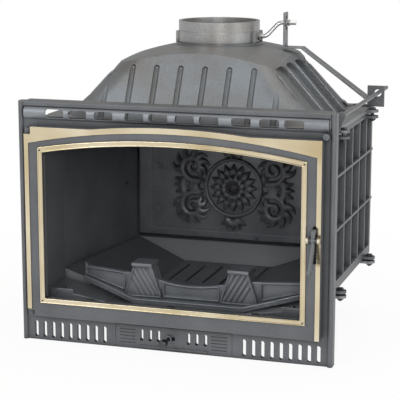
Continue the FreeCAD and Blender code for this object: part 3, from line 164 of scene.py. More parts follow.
def sweep(path, up, profile, looped=False):
    """A profile carried along a path: point = path + side * across + rise * height, side = up x direction."""
    if looped:
        direction = np.roll(path, -1, axis=0) - np.roll(path, 1, axis=0)
    else:
        direction = np.gradient(path, axis=0)
    direction /= np.linalg.norm(direction, axis=1, keepdims=True)
    side = np.cross(np.asarray(up, float), direction)
    side /= np.linalg.norm(side, axis=1, keepdims=True)
    rise = np.cross(direction, side)
    profile = np.broadcast_to(profile, (len(path), *profile.shape[-2:]))
    return path[:, None] + side[:, None] * profile[..., :1] + rise[:, None] * profile[..., 1:]


def even(points, step, looped):
    """Points spaced evenly along a line through given points."""
    points = np.asarray(points, float)
    if looped:
        points = np.concatenate([points, points[:1]])
    run = np.concatenate([[0], np.cumsum(np.linalg.norm(np.diff(points, axis=0), axis=1))])
    count = max(int(run[-1] / step), 8)
    at = np.linspace(0, run[-1], count, endpoint=not looped)
    return np.stack([np.interp(at, run, points[:, k]) for k in range(points.shape[1])], axis=1)


def eased(loop, width):
    """A closed line with its corners eased by a running mean over a number of points."""
    ring = np.concatenate([loop[-width:], loop, loop[:width]])
    window = np.ones(width) / width
    mean = np.stack([np.convolve(column, window, "same") for column in ring.T], axis=1)
    return mean[width:-width]


def upright(line, depth):
    """A line drawn across and up, stood at a depth: (x, depth, z)."""
    return np.stack([line[:, 0], np.full(len(line), depth), line[:, 1]], axis=1)


def angles(count):
    """Even angles once round."""
    return np.arange(count) * TURN / count


def bar(radius, around):
    """The section of a round bar: (radius cos angle, radius sin angle)."""
    angle = angles(around)
    return np.stack([np.cos(angle), np.sin(angle)], axis=-1) * radius


def tape(half_wide, half_thick, around=24, power=0.4):
    """The section of a flat tape: half width sign(cos) |cos|^power, and half thickness with sin alike."""
    angle = angles(around)
    across, up = (np.sign(wave) * np.abs(wave) ** power for wave in (np.cos(angle), np.sin(angle)))
    return np.stack(np.broadcast_arrays(across * half_wide, up * half_thick), axis=-1)


def rounded(t, share, least):
    """Swell of a bar's rounded end at t = 0: sqrt(1 - (1 - t / share)^2), its square never under least."""
    return np.sqrt(np.clip(1 - np.clip(1 - t / share, 0, 1) ** 2, least, 1))


def turned(profile, centre, axis, around=24):
    """A profile of (radius, height) pairs turned about an axis through a centre."""
    profile = np.asarray(profile, float)
    axis = np.asarray(axis, float)
    first = np.cross(axis, ASKEW)
    first /= np.linalg.norm(first)
    second = np.cross(axis, first)
    angle = angles(around)
    ring = np.cos(angle)[:, None] * first + np.sin(angle)[:, None] * second
    return np.asarray(centre, float) + profile[:, None, :1] * ring + profile[:, None, 1:] * axis


def spokes(count, axis, around):
    """Sections of unit radius about an axis through the origin, to be scaled point by point."""
    return turned(np.stack([np.ones(count), np.zeros(count)], axis=1), (0, 0, 0), axis, around)


def six_sided(across, height, centre, axis, hollow=0.0, around=48):
    """A chamfered hexagon: radius = min(half across / cos(angle to the flat), chamfer cone)."""
    axis = np.asarray(axis, float)
    flat = across / 2 / np.cos((angles(around) + TURN / 12) % (TURN / 6) - TURN / 12)
    levels = np.array([0, 0, CHAMFER_SHARE, 1 - CHAMFER_SHARE, 1, 1])[:, None, None] * height
    face = across * FACE_SHARE
    limit = np.array([hollow, face, across, across, face, hollow])
    radius = np.minimum(flat, limit[:, None])[..., None]
    return np.asarray(centre, float) + spokes(len(limit), axis, around) * radius + levels * axis


def thread(radius, pitch, length, centre, axis, around=16, steps=8, depth_share=0.22, runout_share=0.25):
    """A screw thread: radius + depth cos(angle - height / pitch turns), run out at both ends."""
    count = int(length / pitch * steps)
    height = np.linspace(0, length, count)
    wave = np.cos(angles(around)[None] - TURN * height[:, None] / pitch)
    fade = np.clip(np.minimum(height, length - height) / pitch, 0, 1)[:, None]
    size = radius + depth_share * pitch * wave * fade - runout_share * pitch * (1 - fade)
    rise = height[:, None, None] * np.asarray(axis, float)
    return np.asarray(centre, float) + spokes(count, axis, around) * size[..., None] + rise


# Finishes

# Clouds in the stove paint, and how far the painted shade in the castings' hollows reaches
PAINT_CLOUD = 90 * MM
HOLLOW_REACH = 16 * MM
# Sand grain of about 0.8 mm is too fine to show at this size, so it is drawn three to four times coarser
SAND_GRAIN = 2.8 * MM
SAND_DEPTH = 0.6 * MM
# Streaks and dulled patches of bare metal, haze in the glass, and yarn of the seals
METAL_STREAK = 4 * MM
STREAK_DEPTH = 0.2 * MM
METAL_CLOUD = 35 * MM
BRASS_CLOUD = 110 * MM
GLASS_HAZE = 120 * MM
YARN_WIDTH = 1.5 * MM
YARN_DEPTH = 0.5 * MM
# Colour between the yarns as a share of the yarn's own: painted shade in the gaps
YARN_GAP_SHADE_SHARE = 0.4


def iron_finish(name, look, light, dark, rough, metal, grain, ease=1.0, hollow_shade=1.0, door_light_share=0.0):
    """Sand-cast iron under stove paint: a dull graphite sheen, a fine sand grain, edges paler by rubbing and
    by painted highlight, painted shade in hollows.

    Slopes that face the door are painted paler, as if lit, by the share door_light_share.
    """
    made, tree = new_material(name)
    place = add(tree, "ShaderNodeTexCoord")
    shape = add(tree, "ShaderNodeNewGeometry")
    cloud = add(tree, "ShaderNodeTexNoise", {
        "Vector": (place, "Object"), "Scale": 1 / PAINT_CLOUD, "Detail": 4.0,
    })
    sand = add(tree, "ShaderNodeTexNoise", {
        "Vector": (place, "Object"), "Scale": 1 / SAND_GRAIN, "Detail": 3.0,
    })
    speckle = add(tree, "ShaderNodeMath", {0: (cloud, 0), 1: (sand, 0)}, operation="ADD")
    tone = add(tree, "ShaderNodeMapRange", {"Value": (speckle, 0), "From Min": 0.75, "From Max": 1.25})
    paint = add(tree, "ShaderNodeMix", {
        "Factor": (tone, 0), MIX_A: rgba(dark), MIX_B: rgba(light),
    }, data_type="RGBA")
    # Edges, found where the softened normal leaves the surface's own, paler partly by rubbing and partly as a
    # painted highlight; slopes facing the door are painted paler as if lit
    soft = add(tree, "ShaderNodeBevel", {"Radius": ease * look.edge_radius}, samples=6)
    facing = add(tree, "ShaderNodeVectorMath", {
        0: (soft, "Normal"), 1: (shape, "Normal"),
    }, operation="DOT_PRODUCT")
    edge = add(tree, "ShaderNodeMapRange", {
        "Value": (facing, "Value"), "From Min": 0.99, "From Max": 0.80, "To Max": look.edge_wear_and_highlight,
    })
    slope = add(tree, "ShaderNodeSeparateXYZ", {0: (shape, "True Normal")})
    door_facing_light = add(tree, "ShaderNodeMapRange", {
        "Value": (slope, "Y"), "From Min": -0.3, "From Max": -0.5, "To Max": door_light_share,
    })
    rubbed_and_lit = add(tree, "ShaderNodeMath", {0: (edge, 0), 1: (door_facing_light, 0)}, operation="MAXIMUM")
    worn_and_lit_paint = add(tree, "ShaderNodeMix", {
        "Factor": (rubbed_and_lit, 0), MIX_A: (paint, MIX_RESULT), MIX_B: rgba(look.rubbed_and_highlit_edge),
    }, data_type="RGBA")
    # Painted shade in the hollows, darkest where the surface is most enclosed
    hollow = add(tree, "ShaderNodeAmbientOcclusion", {"Distance": HOLLOW_REACH}, samples=6)
    painted_shade = add(tree, "ShaderNodeMapRange", {
        "Value": (hollow, "AO"), "From Min": 0.3, "From Max": 0.95, "To Min": 1 - hollow_shade * look.hollow_shade,
    })
    shaded = add(tree, "ShaderNodeVectorMath", {
        0: (worn_and_lit_paint, MIX_RESULT), "Scale": (painted_shade, 0),
    }, operation="SCALE")
    dull = add(tree, "ShaderNodeMapRange", {
        "Value": (cloud, 0), "From Min": 0.3, "From Max": 0.7, "To Min": rough - 0.05, "To Max": rough + 0.06,
    })
    bump = add(tree, "ShaderNodeBump", {
        "Height": (sand, 0), "Strength": grain, "Distance": SAND_DEPTH, "Normal": (soft, "Normal"),
    })
    shader = add(tree, "ShaderNodeBsdfPrincipled", {
        "Base Color": (shaded, 0), "Roughness": (dull, 0), "Normal": (bump, 0), "Metallic": metal,
    })
    add(tree, "ShaderNodeOutputMaterial", {"Surface": (shader, 0)})
    return made


def metal_finish(name, bright, dull, rough, streak, edge, cloud=METAL_CLOUD, detail=3.0):
    """Bare metal: polished or drawn, with fine streaks in its gloss and slightly dulled patches."""
    made, tree = new_material(name)
    place = add(tree, "ShaderNodeTexCoord")
    stretch = add(tree, "ShaderNodeMapping", {"Vector": (place, "Object"), "Scale": streak})
    lines = add(tree, "ShaderNodeTexNoise", {
        "Vector": (stretch, 0), "Scale": 1 / METAL_STREAK, "Detail": 3.0,
    })
    patch = add(tree, "ShaderNodeTexNoise", {
        "Vector": (place, "Object"), "Scale": 1 / cloud, "Detail": detail,
    })
    mix = add(tree, "ShaderNodeMix", {
        "Factor": (patch, 0), MIX_A: rgba(dull), MIX_B: rgba(bright),
    }, data_type="RGBA")
    gloss = add(tree, "ShaderNodeMapRange", {
        "Value": (lines, 0), "From Min": 0.3, "From Max": 0.7, "To Min": rough - 0.04, "To Max": rough + 0.08,
    })
    soft = add(tree, "ShaderNodeBevel", {"Radius": edge}, samples=4)
    bump = add(tree, "ShaderNodeBump", {
        "Height": (lines, 0), "Strength": 0.06, "Distance": STREAK_DEPTH, "Normal": (soft, "Normal"),
    })
    shader = add(tree, "ShaderNodeBsdfPrincipled", {
        "Base Color": (mix, MIX_RESULT), "Metallic": 1.0, "Roughness": (gloss, 0), "Normal": (bump, 0),
    })
    add(tree, "ShaderNodeOutputMaterial", {"Surface": (shader, 0)})
    return made


def glass_finish(look):
    """Drawn ceramic glass: clear and thin, with a faint haze in its gloss."""
    made, tree = new_material("ceramic_glass_drawn")
    place = add(tree, "ShaderNodeTexCoord")
    haze = add(tree, "ShaderNodeTexNoise", {"Vector": (place, "Object"), "Scale": 1 / GLASS_HAZE})
    gloss = add(tree, "ShaderNodeMapRange", {"Value": (haze, 0), "To Min": 0.02, "To Max": 0.06})
    shader = add(tree, "ShaderNodeBsdfPrincipled", {
        "Base Color": rgba(look.glass), "Roughness": (gloss, 0), "IOR": 1.47, "Alpha": look.glass_opacity,
    })
    add(tree, "ShaderNodeOutputMaterial", {"Surface": (shader, 0)})
    return made


def fibre_finish(look):
    """Braided glass fibre: matt grey yarn, with painted shade in the gaps between its strands."""
    made, tree = new_material("glass_fibre_braided")
    place = add(tree, "ShaderNodeTexCoord")
    yarn = add(tree, "ShaderNodeTexNoise", {
        "Vector": (place, "Object"), "Scale": 1 / YARN_WIDTH, "Detail": 2.0,
    })
    gap_shade = [YARN_GAP_SHADE_SHARE * level for level in look.fibre]
    mix = add(tree, "ShaderNodeMix", {
        "Factor": (yarn, 0), MIX_A: rgba(gap_shade), MIX_B: rgba(look.fibre),
    }, data_type="RGBA")
    bump = add(tree, "ShaderNodeBump", {"Height": (yarn, 0), "Strength": 0.6, "Distance": YARN_DEPTH})
    shader = add(tree, "ShaderNodeBsdfPrincipled", {
        "Base Color": (mix, MIX_RESULT), "Roughness": 0.7, "Normal": (bump, 0),
    })
    add(tree, "ShaderNodeOutputMaterial", {"Surface": (shader, 0)})
    return made


# Settings

# Half width in millimetres for which the fireback's relief is drawn
RELIEF_DRAWN_HALF = 168


def colour_value(name, words, code):
    """A colour property whose default is an sRGB hex value."""
    return FloatVectorProperty(name=name, description=words, subtype="COLOR", size=3, min=0, max=1,
                               default=linear(code))


def length_value(name, words, millimetres):
    """A length property whose default is given in millimetres."""
    return FloatProperty(name=name, description=words, unit="LENGTH", precision=4, default=millimetres * MM)


def angle_value(name, words, degrees):
    """An angle property whose default is given in degrees."""
    return FloatProperty(name=name, description=words, subtype="ANGLE", default=math.radians(degrees))


def level_value(name, words, default, highest=1):
    """A plain number from zero up."""
    return FloatProperty(name=name, description=words, default=default, min=0, max=highest)


class InsertLook(bpy.types.PropertyGroup):
    """Colours and finish of the insert's materials."""
    front_light: colour_value("Front paint, light", "Stove paint of the front and door", "#66686b")
    front_dark: colour_value("Front paint, dark", "Stove paint of the front in its darker clouds", "#55575a")
    # The grille's paint is paler than the front's: a painted highlight on the bowed bar
    grille_light: colour_value("Grille paint, light", "Stove paint of the grille, paler as a painted highlight", "#84888c")
    grille_dark: colour_value("Grille paint, dark", "Paint of the grille in its darker clouds", "#787b80")
    shell_light: colour_value("Shell paint, light", "Stove paint of the walls and the tray", "#686a6d")
    shell_dark: colour_value("Shell paint, dark", "Stove paint of the walls in its darker clouds", "#55575a")
    hood_light: colour_value("Hood paint, light", "Stove paint of the hood and its rods", "#7e8489")
    hood_dark: colour_value("Hood paint, dark", "Stove paint of the hood in its darker clouds", "#706e6c")
    # The collar's paint is a paler copy of the hood's: a painted highlight on the round collar
    collar_light: colour_value("Collar paint, light", "Stove paint of the collar, paler as a painted highlight", "#9fa2a4")
    collar_dark: colour_value("Collar paint, dark", "Paint of the collar in its darker clouds", "#8a857f")
    fire_light: colour_value("Fire iron, light", "Iron inside the fire chamber", "#787a7e")
    fire_dark: colour_value("Fire iron, dark", "Iron inside the chamber in its darker clouds", "#5c5e62")
    # The guard's iron is a paler copy of the fire iron: painted light on the guard by the door
    guard_light: colour_value("Guard iron, light", "Iron of the log guard", "#84878c")
    guard_dark: colour_value("Guard iron, dark", "Iron of the guard in its darker clouds", "#6e7176")
    # Edge colour: partly paint rubbed off the edges, partly a painted highlight along them
    rubbed_and_highlit_edge: colour_value("Rubbed and highlit edge", "Paint where edges are rubbed", "#a8aaac")
    brass: colour_value("Brass", "Polished brass of the door trims", "#f3ead4")
    brass_dull: colour_value("Dull brass", "Brass where its polish is dulled", "#b39d6c")
    steel: colour_value("Steel", "Drawn steel of the damper's shaft and of screws", "#dcdcdb")
    steel_dull: colour_value("Dull steel", "Steel where it is dulled", "#bdbdbd")
    black_steel: colour_value("Blackened steel", "Forged knob, bracket, pins and tie bolts", "#5e6062")
    black_dull: colour_value("Dull blackened steel", "Blackened steel where it is dulled", "#48494b")
    nickel: colour_value("Nickel", "Satin plating of the handle pin", "#e6dcc8")
    nickel_dull: colour_value("Dull nickel", "Plating where it is dulled", "#c2b7a0")
    glass: colour_value("Glass", "Tint of the pane", "#0c0d0e")
    glass_opacity: level_value("Glass opacity", "How much of the pane shows", 0.05)
    fibre: colour_value("Fibre", "Rope and gasket tape", "#b4b2ac")
    edge_radius: length_value("Edge radius", "Softness of cast edges", 1.4)
    # How far edges are paled, partly as wear and partly as a painted highlight
    edge_wear_and_highlight: level_value("Edge wear and highlight", "How far edges are rubbed", 0.55)
    # How dark the painted shade in the castings' hollows is
    hollow_shade: level_value("Painted hollow shade", "How dark the castings' hollows are", 0.7)


class InsertSizes(bpy.types.PropertyGroup):
    """Sizes of the pieces that are added to the castings."""
    relief_height: length_value("Relief height", "How far the fireback's scrolls stand out", 20)
    relief_half: length_value("Relief half width", "Reach of the scrolls from the middle", RELIEF_DRAWN_HALF)
    rope_radius: length_value("Rope radius", "Half the thickness of the door's rope", 4.6)
    rope_lay: length_value("Rope lay", "Length of one plait of the rope", 13)
    trim_bead: length_value("Trim bead", "Half the width of the brass trim's rolled edges", 1.5)
    guard_bead: length_value("Guard bead", "Half the width of the log guard's raised rims", 2.6)
    ridge: length_value("Hood ridge", "Half the width of the ridges between the hood's troughs", 3.8)
    nut: length_value("Nut", "Width of the tie bolts' nuts across the flats", 13)
    pitch: length_value("Thread pitch", "Pitch of the bolts' threads", 1.6)


class StageLook(bpy.types.PropertyGroup):
    """Camera and studio light."""
    lens: FloatProperty(name="Lens", description="Focal length on a film 36 mm wide",
                        subtype="DISTANCE_CAMERA", default=128.9)
    yaw: angle_value("Yaw", "Turn of the view to the left", 17.64)
    pitch: angle_value("Pitch", "Tilt of the view down", 11.51)
    place: FloatVectorProperty(name="Place", description="Where the camera stands", subtype="TRANSLATION",
                               size=3, default=(1.020, -3.009, 1.004))
    fill: level_value("Fill", "Level of the light from all round", 0.42, highest=2)
    power: FloatProperty(name="Power", description="Power that each lamp has its share of", unit="POWER",
                         default=55.0, min=0, max=500)
    floor_glow: level_value("Floor glow", "Share of the floor that shows plain white", 0.93)


def colours():
    """The colours in use."""
    return bpy.context.scene.insert_look


def sizes():
    """The sizes in use."""
    return bpy.context.scene.insert_sizes


class InsertOperator(bpy.types.Operator):
    """Base of the insert's operators."""
    bl_options = {"REGISTER", "UNDO"}


# Castings

FINISHES = {}
# The finish that each CAD node wears
WORN = {
    "grille": ("convection_grille",),
    "front": ("front_frame", "air_panel", "door_frame", "latch_keeper", "control_knob"),
    "shell": ("side_wall_right", "side_wall_left", "back_wall", "handle_lever", "rear_legs", "rod_guide",
              "offset_lug", "ash_well", "ash_pan", "air_slider", "damper_plate", "glass_clips"),
    "hood": ("hood", "strap", "pull_rod", "side_rod"),
    "collar": ("flue_collar",),
    "fire": ("fireback", "fireback_bolts", "side_lining_right", "side_lining_left", "grate", "sill_plates",
             "smoke_baffle"),
    "guard": ("log_guard",),
    "tray": ("hearth_tray",),
    "black": ("slider_knob", "handle_bracket", "hinge_pins", "tie_bolts_low", "tie_bolts_high",
              "trim_screws"),
    "brass": ("inner_trim", "outer_trim"),
    "nickel": ("handle_pin",),
    "steel": ("damper_shaft", "damper_screws", "crank_nut", "lug_bolts", "clip_screws"),
    "glass": ("glass_pane",),
    "fibre": ("glass_gasket", "door_rope_seal", "hood_gasket"),
}


class INSERT_OT_finishes(InsertOperator):
    """Makes the finishes and puts them on the castings"""
    bl_idname = "insert.finishes"
    bl_label = "Finishes"

    def execute(self, context):
        look = colours()
        FINISHES.update({
            "front": iron_finish("cast_iron_stove_paint_front", look, look.front_light, look.front_dark,
                                 rough=0.42, metal=0.25, grain=0.22),
            # Paler copy of the front paint, a painted highlight on the grille
            "grille": iron_finish("cast_iron_stove_paint_highlit", look, look.grille_light, look.grille_dark,
                                  rough=0.40, metal=0.32, grain=0.16),
            "shell": iron_finish("cast_iron_stove_paint_shell", look, look.shell_light, look.shell_dark,
                                 rough=0.46, metal=0.30, grain=0.26),
            "hood": iron_finish("cast_iron_stove_paint_hood", look, look.hood_light, look.hood_dark,
                                rough=0.42, metal=0.50, grain=0.24, ease=1.6),
            # Paler copy of the hood paint, a painted highlight on the collar
            "collar": iron_finish("cast_iron_stove_paint_collar_highlit", look, look.collar_light, look.collar_dark,
                                  rough=0.36, metal=0.60, grain=0.18, ease=1.5),
            "fire": iron_finish("cast_iron_raw_chamber", look, look.fire_light, look.fire_dark,
                                rough=0.32, metal=0.45, grain=0.30, ease=2.2, hollow_shade=0.6),
            # The tray's slopes that face the door are painted paler, as if lit from the door
            "tray": iron_finish("cast_iron_tray_painted_light", look, look.shell_light, look.shell_dark,
                                rough=0.46, metal=0.30, grain=0.26, door_light_share=0.5),
            # Paler copy of the fire iron, painted light on the guard
            "guard": iron_finish("cast_iron_raw_guard", look, look.guard_light, look.guard_dark,
                                 rough=0.34, metal=0.40, grain=0.26, ease=1.8),
            "black": metal_finish("steel_forged_blackened", look.black_steel, look.black_dull,
                                  rough=0.36, streak=(1, 1, 1), edge=1.0 * MM),
            "brass": metal_finish("brass_polished_strip", look.brass, look.brass_dull,
                                  rough=0.16, streak=(0.06, 1, 1), edge=0.7 * MM,
                                  cloud=BRASS_CLOUD, detail=1.0),
            "steel": metal_finish("steel_drawn_bright", look.steel, look.steel_dull,
                                  rough=0.26, streak=(1, 0.05, 1), edge=0.6 * MM),
            "nickel": metal_finish("brass_nickelled_satin", look.nickel, look.nickel_dull,
                                   rough=0.36, streak=(0.1, 1, 1), edge=0.8 * MM),
            "glass": glass_finish(look),
            "fibre": fibre_finish(look),
        })
        for finish, names in WORN.items():
            for name in names:
                mesh = NODES[name].data
                mesh.materials.clear()
                mesh.materials.append(FINISHES[finish])
        missing = sorted(n for n in NODES if not any(n in names for names in WORN.values()))
        if missing:
            raise RuntimeError(f"no finish for {missing}")
        return {"FINISHED"}


# Fireback relief, drawn in millimetres from its middle

# Height of its middle above the hearth
RELIEF_MIDDLE = 295
# Depth of the fireback's sunk panel, on which the relief lies
PANEL_SUNK = 3 * MM
# A scroll's stem springs at its root, leans over and curls in about its eye
SCROLL_ROOT, SCROLL_LEAN, SCROLL_EYE = (72, 9), (90, 16), (108, 52)
SCROLL_RADII = (36, 8)
SCROLL_TURNS = 1.5
STEM_HALF = 9
# Leaves on a scroll: their stretch of the stem, and the length and half width that fall from leaf to leaf
SCROLL_LEAVES = 11
LEAF_START_SHARE, LEAF_STRETCH_SHARE = 0.22, 0.46
LEAF_LONG, LEAF_SHORTER = 34, 0.9
LEAF_HALF, LEAF_NARROWER = 11.5, 0.3
LEAF_ROOT_SHARE, LEAF_RISE_SHARE = 0.4, 0.8
# A leaf's bend and tip as shares of its length, out from the stem and along it
BEND_SHARES, TIP_SHARES = (0.75, -0.05), (0.85, 0.7)
# Leaf fans beside and above the rosette: distance from the middle, leaves and reach
FAN_BESIDE, FAN_ABOVE = (118, 3, 46), (76, 5, 40)
FAN_INNER, FAN_HALF, FAN_RISE_SHARE = 4, 8.0, 0.8
FAN_STEP = math.radians(28)
# The rosette's rings of petals: petals, inner and outer reach, half width, share of the height, first angle
ROSETTE = ((16, 30, 64, 9.5, 0.75, 0.0), (12, 12, 44, 8.0, 1.0, TURN / 24))
# Its button's two domes: radius, and height as a share of it
BUTTON = ((13, 0.9), (8, 1.9))
HOOP_RADIUS, HOOP_BAR, HOOP_PROUD = 74, 5, 3


def stroke(path, width, height, veins, around=20, sunk_share=0.08):
    """A raised leaf or stem: width cos(a), height max(sin(a), 0)^0.8 with veins, and a flat underside."""
    angle = angles(around)
    across = np.cos(angle)
    over = np.maximum(np.sin(angle), 0) ** 0.8 * (1 + veins * np.cos(3 * np.pi * across))
    over = np.where(np.sin(angle) < -0.01, -sunk_share, over)
    profile = np.stack([width[:, None] * across, height[:, None] * over], axis=-1)
    return sweep(path, (0, -1, 0), profile)


def spiral(centre, radii, start, turns, count=70):
    """A scroll about a centre: radius = first (last / first)^t as the angle grows with t."""
    t = np.linspace(0, 1, count)
    radius = radii[0] * (radii[1] / radii[0]) ** t
    angle = start + turns * TURN * t
    return np.asarray(centre) + radius[:, None] * np.stack([np.cos(angle), np.sin(angle)], axis=1)


def arc(a, b, c, count=26):
    """A quadratic curve from a to c that leans towards b: (1 - t)^2 a + 2 t (1 - t) b + t^2 c."""
    t = np.linspace(0, 1, count)[:, None]
    a, b, c = (np.asarray(p, float) for p in (a, b, c))
    return (1 - t) ** 2 * a + 2 * t * (1 - t) * b + t ** 2 * c


def leaf(ends, plane, half, height, root=0.0, veins=0.16):
    """A pointed leaf along an arc: half width times sin(pi (root + (1 - root) t^0.7))^0.8, nil at its tip."""
    line = arc(*ends)
    t = np.linspace(0, 1, len(line))
    full = np.clip(np.sin(np.pi * (root + (1 - root) * t ** 0.7)), 0, 1) ** 0.8
    return stroke(upright(line, plane), half * np.maximum(full, 0.02), height * (0.25 + 0.75 * full), veins)


def stem(line, plane, half, height, veins=0.12):
    """A stem: half width (1 - 0.45 t) and height (1 - 0.25 t) along it, swelling over its first eighth."""
    t = np.linspace(0, 1, len(line))
    swell = np.clip(np.minimum(t * 8, 1), 0.05, 1)
    return stroke(upright(line, plane), half * swell * (1 - 0.45 * t), height * swell * (1 - 0.25 * t), veins)


def scroll_leaf(line, number):
    """The ends of a scroll's leaf: its root on the stem, its bend and its tip."""
    at = int(len(line) * (LEAF_START_SHARE + LEAF_STRETCH_SHARE * number / (SCROLL_LEAVES - 1)))
    along = line[at + 1] - line[at]
    along /= np.linalg.norm(along)
    out = np.array([along[1], -along[0]])
    size = (LEAF_LONG - LEAF_SHORTER * number) * MM
    shares = np.array([(0, 0), BEND_SHARES, TIP_SHARES])
    return line[at] + size * shares @ np.stack([out, along])


class INSERT_OT_relief(InsertOperator):
    """A rosette in a hoop, with four leafy scrolls, on the fireback"""
    bl_idname = "insert.relief"
    bl_label = "Fireback relief"

    def execute(self, context):
        high = sizes().relief_height
        widen = sizes().relief_half / (RELIEF_DRAWN_HALF * MM)
        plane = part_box("fireback")[0].y + PANEL_SUNK
        middle = RELIEF_MIDDLE * MM
        grids = []

        def put(point):
            """A drawn point in metres, at the relief's width."""
            return (point[0] * widen * MM, point[1] * MM)

        def petals(centre, count, inner, outer, half, rise_share, first, step):
            """Leaves set out evenly round a centre."""
            for k in range(count):
                angle = first + step * k
                way = np.array((math.cos(angle), math.sin(angle)))
                ends = [put(centre + reach * way) for reach in (inner, (inner + outer) / 2, outer)]
                grids.append(leaf(ends, plane, half * MM, rise_share * high))

        def fan(centre, towards, count, outer):
            """Leaves spread evenly about a direction."""
            first = towards - FAN_STEP * (count - 1) / 2
            petals(centre, count, FAN_INNER, outer, FAN_HALF, FAN_RISE_SHARE, first, FAN_STEP)

        curl = spiral(put(SCROLL_EYE), [r * MM for r in SCROLL_RADII], -TURN / 4, SCROLL_TURNS)
        run = arc(put(SCROLL_ROOT), put(SCROLL_LEAN), curl[0])
        scroll = np.concatenate([run[:-1], curl])
        for side in (1, -1):
            for rise in (1, -1):
                mirror = np.array((side, rise))
                grids.append(stem(scroll * mirror + (0, middle), plane, STEM_HALF * MM, high))
                for k in range(SCROLL_LEAVES):
                    ends = scroll_leaf(scroll, k) * mirror + (0, middle)
                    half = (LEAF_HALF - LEAF_NARROWER * k) * MM
                    grids.append(leaf(ends, plane, half, LEAF_RISE_SHARE * high, LEAF_ROOT_SHARE))
            away, count, outer = FAN_BESIDE
            fan((side * away, RELIEF_MIDDLE), TURN / 4 * (1 - side), count, outer)
            away, count, outer = FAN_ABOVE
            fan((0, RELIEF_MIDDLE + side * away), TURN / 4 * side, count, outer)
        for count, inner, outer, half, rise_share, first in ROSETTE:
            petals((0, RELIEF_MIDDLE), count, inner, outer, half, rise_share, first, TURN / count)
        dome = np.linspace(0, math.pi / 2, 9)
        for radius, height_share in BUTTON:
            profile = np.stack([np.cos(dome), height_share * np.sin(dome)], axis=1) * radius * MM
            grids.append(turned(profile, (0, plane, middle), (0, -1, 0)))
        piece("fireback_relief", grids, FINISHES["fire"], "firebox")
        ring = (bar(HOOP_BAR, around=16) + (HOOP_RADIUS, 0)) * MM
        hoop = turned(ring, (0, plane - HOOP_PROUD * MM, middle), (0, -1, 0), around=120)
        piece("relief_hoop", [hoop], FINISHES["fire"], "firebox", looped=True)
        return {"FINISHED"}


# Rope, tapes and trim edges

# Height of the rope's upper corners
ROPE_CORNER = SIGHT_CORNER + 28 * MM
# Spacing of the rope's sections, how many of them ease a corner, and how far its plaits swell
ROPE_STEP, ROPE_EASE = 1.6 * MM, 9
ROPE_SWELL_SHARE = 0.07
PANE_TAPE_WIDE = 5.5 * MM
# Half width of the hood's tape on the side walls and on the front and back, and how near the first counts
HOOD_TAPE_SIDE, HOOD_TAPE_END, HOOD_TAPE_NEAR = 10 * MM, 4 * MM, 6 * MM
TAPE_STEP, TAPE_EASE = 4 * MM, 5
TRIM_WIDE = 12 * MM
TRIM_STEP = 3 * MM


def arched_loop(half, low, corner, crown, count=60):
    """The door's arched outline: three straight sides and an arc through the crown."""
    rise = crown - corner
    radius = (half ** 2 + rise ** 2) / (2 * rise)
    x = np.linspace(half, -half, count)
    z = crown - radius + np.sqrt(radius ** 2 - x ** 2)
    return np.concatenate([[[-half, low], [half, low]], np.stack([x, z], axis=1)])


def plaited_rope():
    """The rope's surface: radius (1 + swell (cos(3 a + p) cos(3 a - p) - 1)), where p turns along the rope.

    Its half towards the groove's floor is stretched to fill the groove.
    """
    radius, lay = sizes().rope_radius, sizes().rope_lay
    low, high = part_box("door_rope_seal")
    loop = arched_loop(high.x - radius, low.z + radius, ROPE_CORNER, high.z - radius)
    path = upright(eased(even(loop, ROPE_STEP, True), ROPE_EASE), high.y - radius)
    waves = round((len(path) - 1) * ROPE_STEP / lay)
    phase = angles(len(path))[:, None] * waves
    angle = angles(24)
    plait = np.cos(3 * angle + phase) * np.cos(3 * angle - phase)
    size = radius * (1 + ROPE_SWELL_SHARE * (plait - 1))
    deep = (high.y - low.y - radius) / radius
    profile = np.stack([size * np.cos(angle), size * np.sin(angle)], axis=-1)
    profile[..., 1] *= np.where(np.sin(angle) < 0, deep, 1.0)
    return sweep(path, (0, 1, 0), profile, True)


def pane_tape():
    """A flat tape carried round the pane."""
    low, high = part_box("glass_gasket")
    half, thick = PANE_TAPE_WIDE / 2, (high.y - low.y) / 2
    loop = arched_loop(high.x - half, low.z + half, SIGHT_CORNER + half, high.z - half)
    path = upright(even(loop, TAPE_STEP, True), low.y + thick)
    return sweep(path, (0, 1, 0), tape(half, thick), True)


def hood_tape():
    """A flat tape carried round the hood's foot, wider where it lies on the side walls."""
    low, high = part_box("hood_gasket")
    thick = (high.z - low.z) / 2
    left, right = low.x + HOOD_TAPE_SIDE, high.x - HOOD_TAPE_SIDE
    front, back = low.y + HOOD_TAPE_END, high.y - HOOD_TAPE_END
    corners = [(left, front), (right, front), (right, back), (left, back)]
    loop = eased(even(corners, TAPE_STEP, True), TAPE_EASE)
    path = np.column_stack([loop, np.full(len(loop), low.z + thick)])
    on_side = np.abs(np.abs(path[:, :1]) - right) < HOOD_TAPE_NEAR
    half = np.where(on_side, HOOD_TAPE_SIDE, HOOD_TAPE_END)
    return sweep(path, (0, 0, 1), tape(half, thick), True)


class INSERT_OT_rope(InsertOperator):
    """Plaited rope in the door's groove, and the tapes of the pane and the hood"""
    bl_idname = "insert.rope"
    bl_label = "Rope and tapes"

    def execute(self, context):
        fibre = FINISHES["fibre"]
        rope = piece("rope_plaited", [plaited_rope()], fibre, "door", looped=True)
        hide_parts("door_rope_seal")
        pane_seal = piece("pane_tape_woven", [pane_tape()], fibre, "door", looped=True)
        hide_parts("glass_gasket")
        hood_seal = piece("hood_tape_woven", [hood_tape()], fibre, "firebox", looped=True)
        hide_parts("hood_gasket")
        return {"FINISHED"}


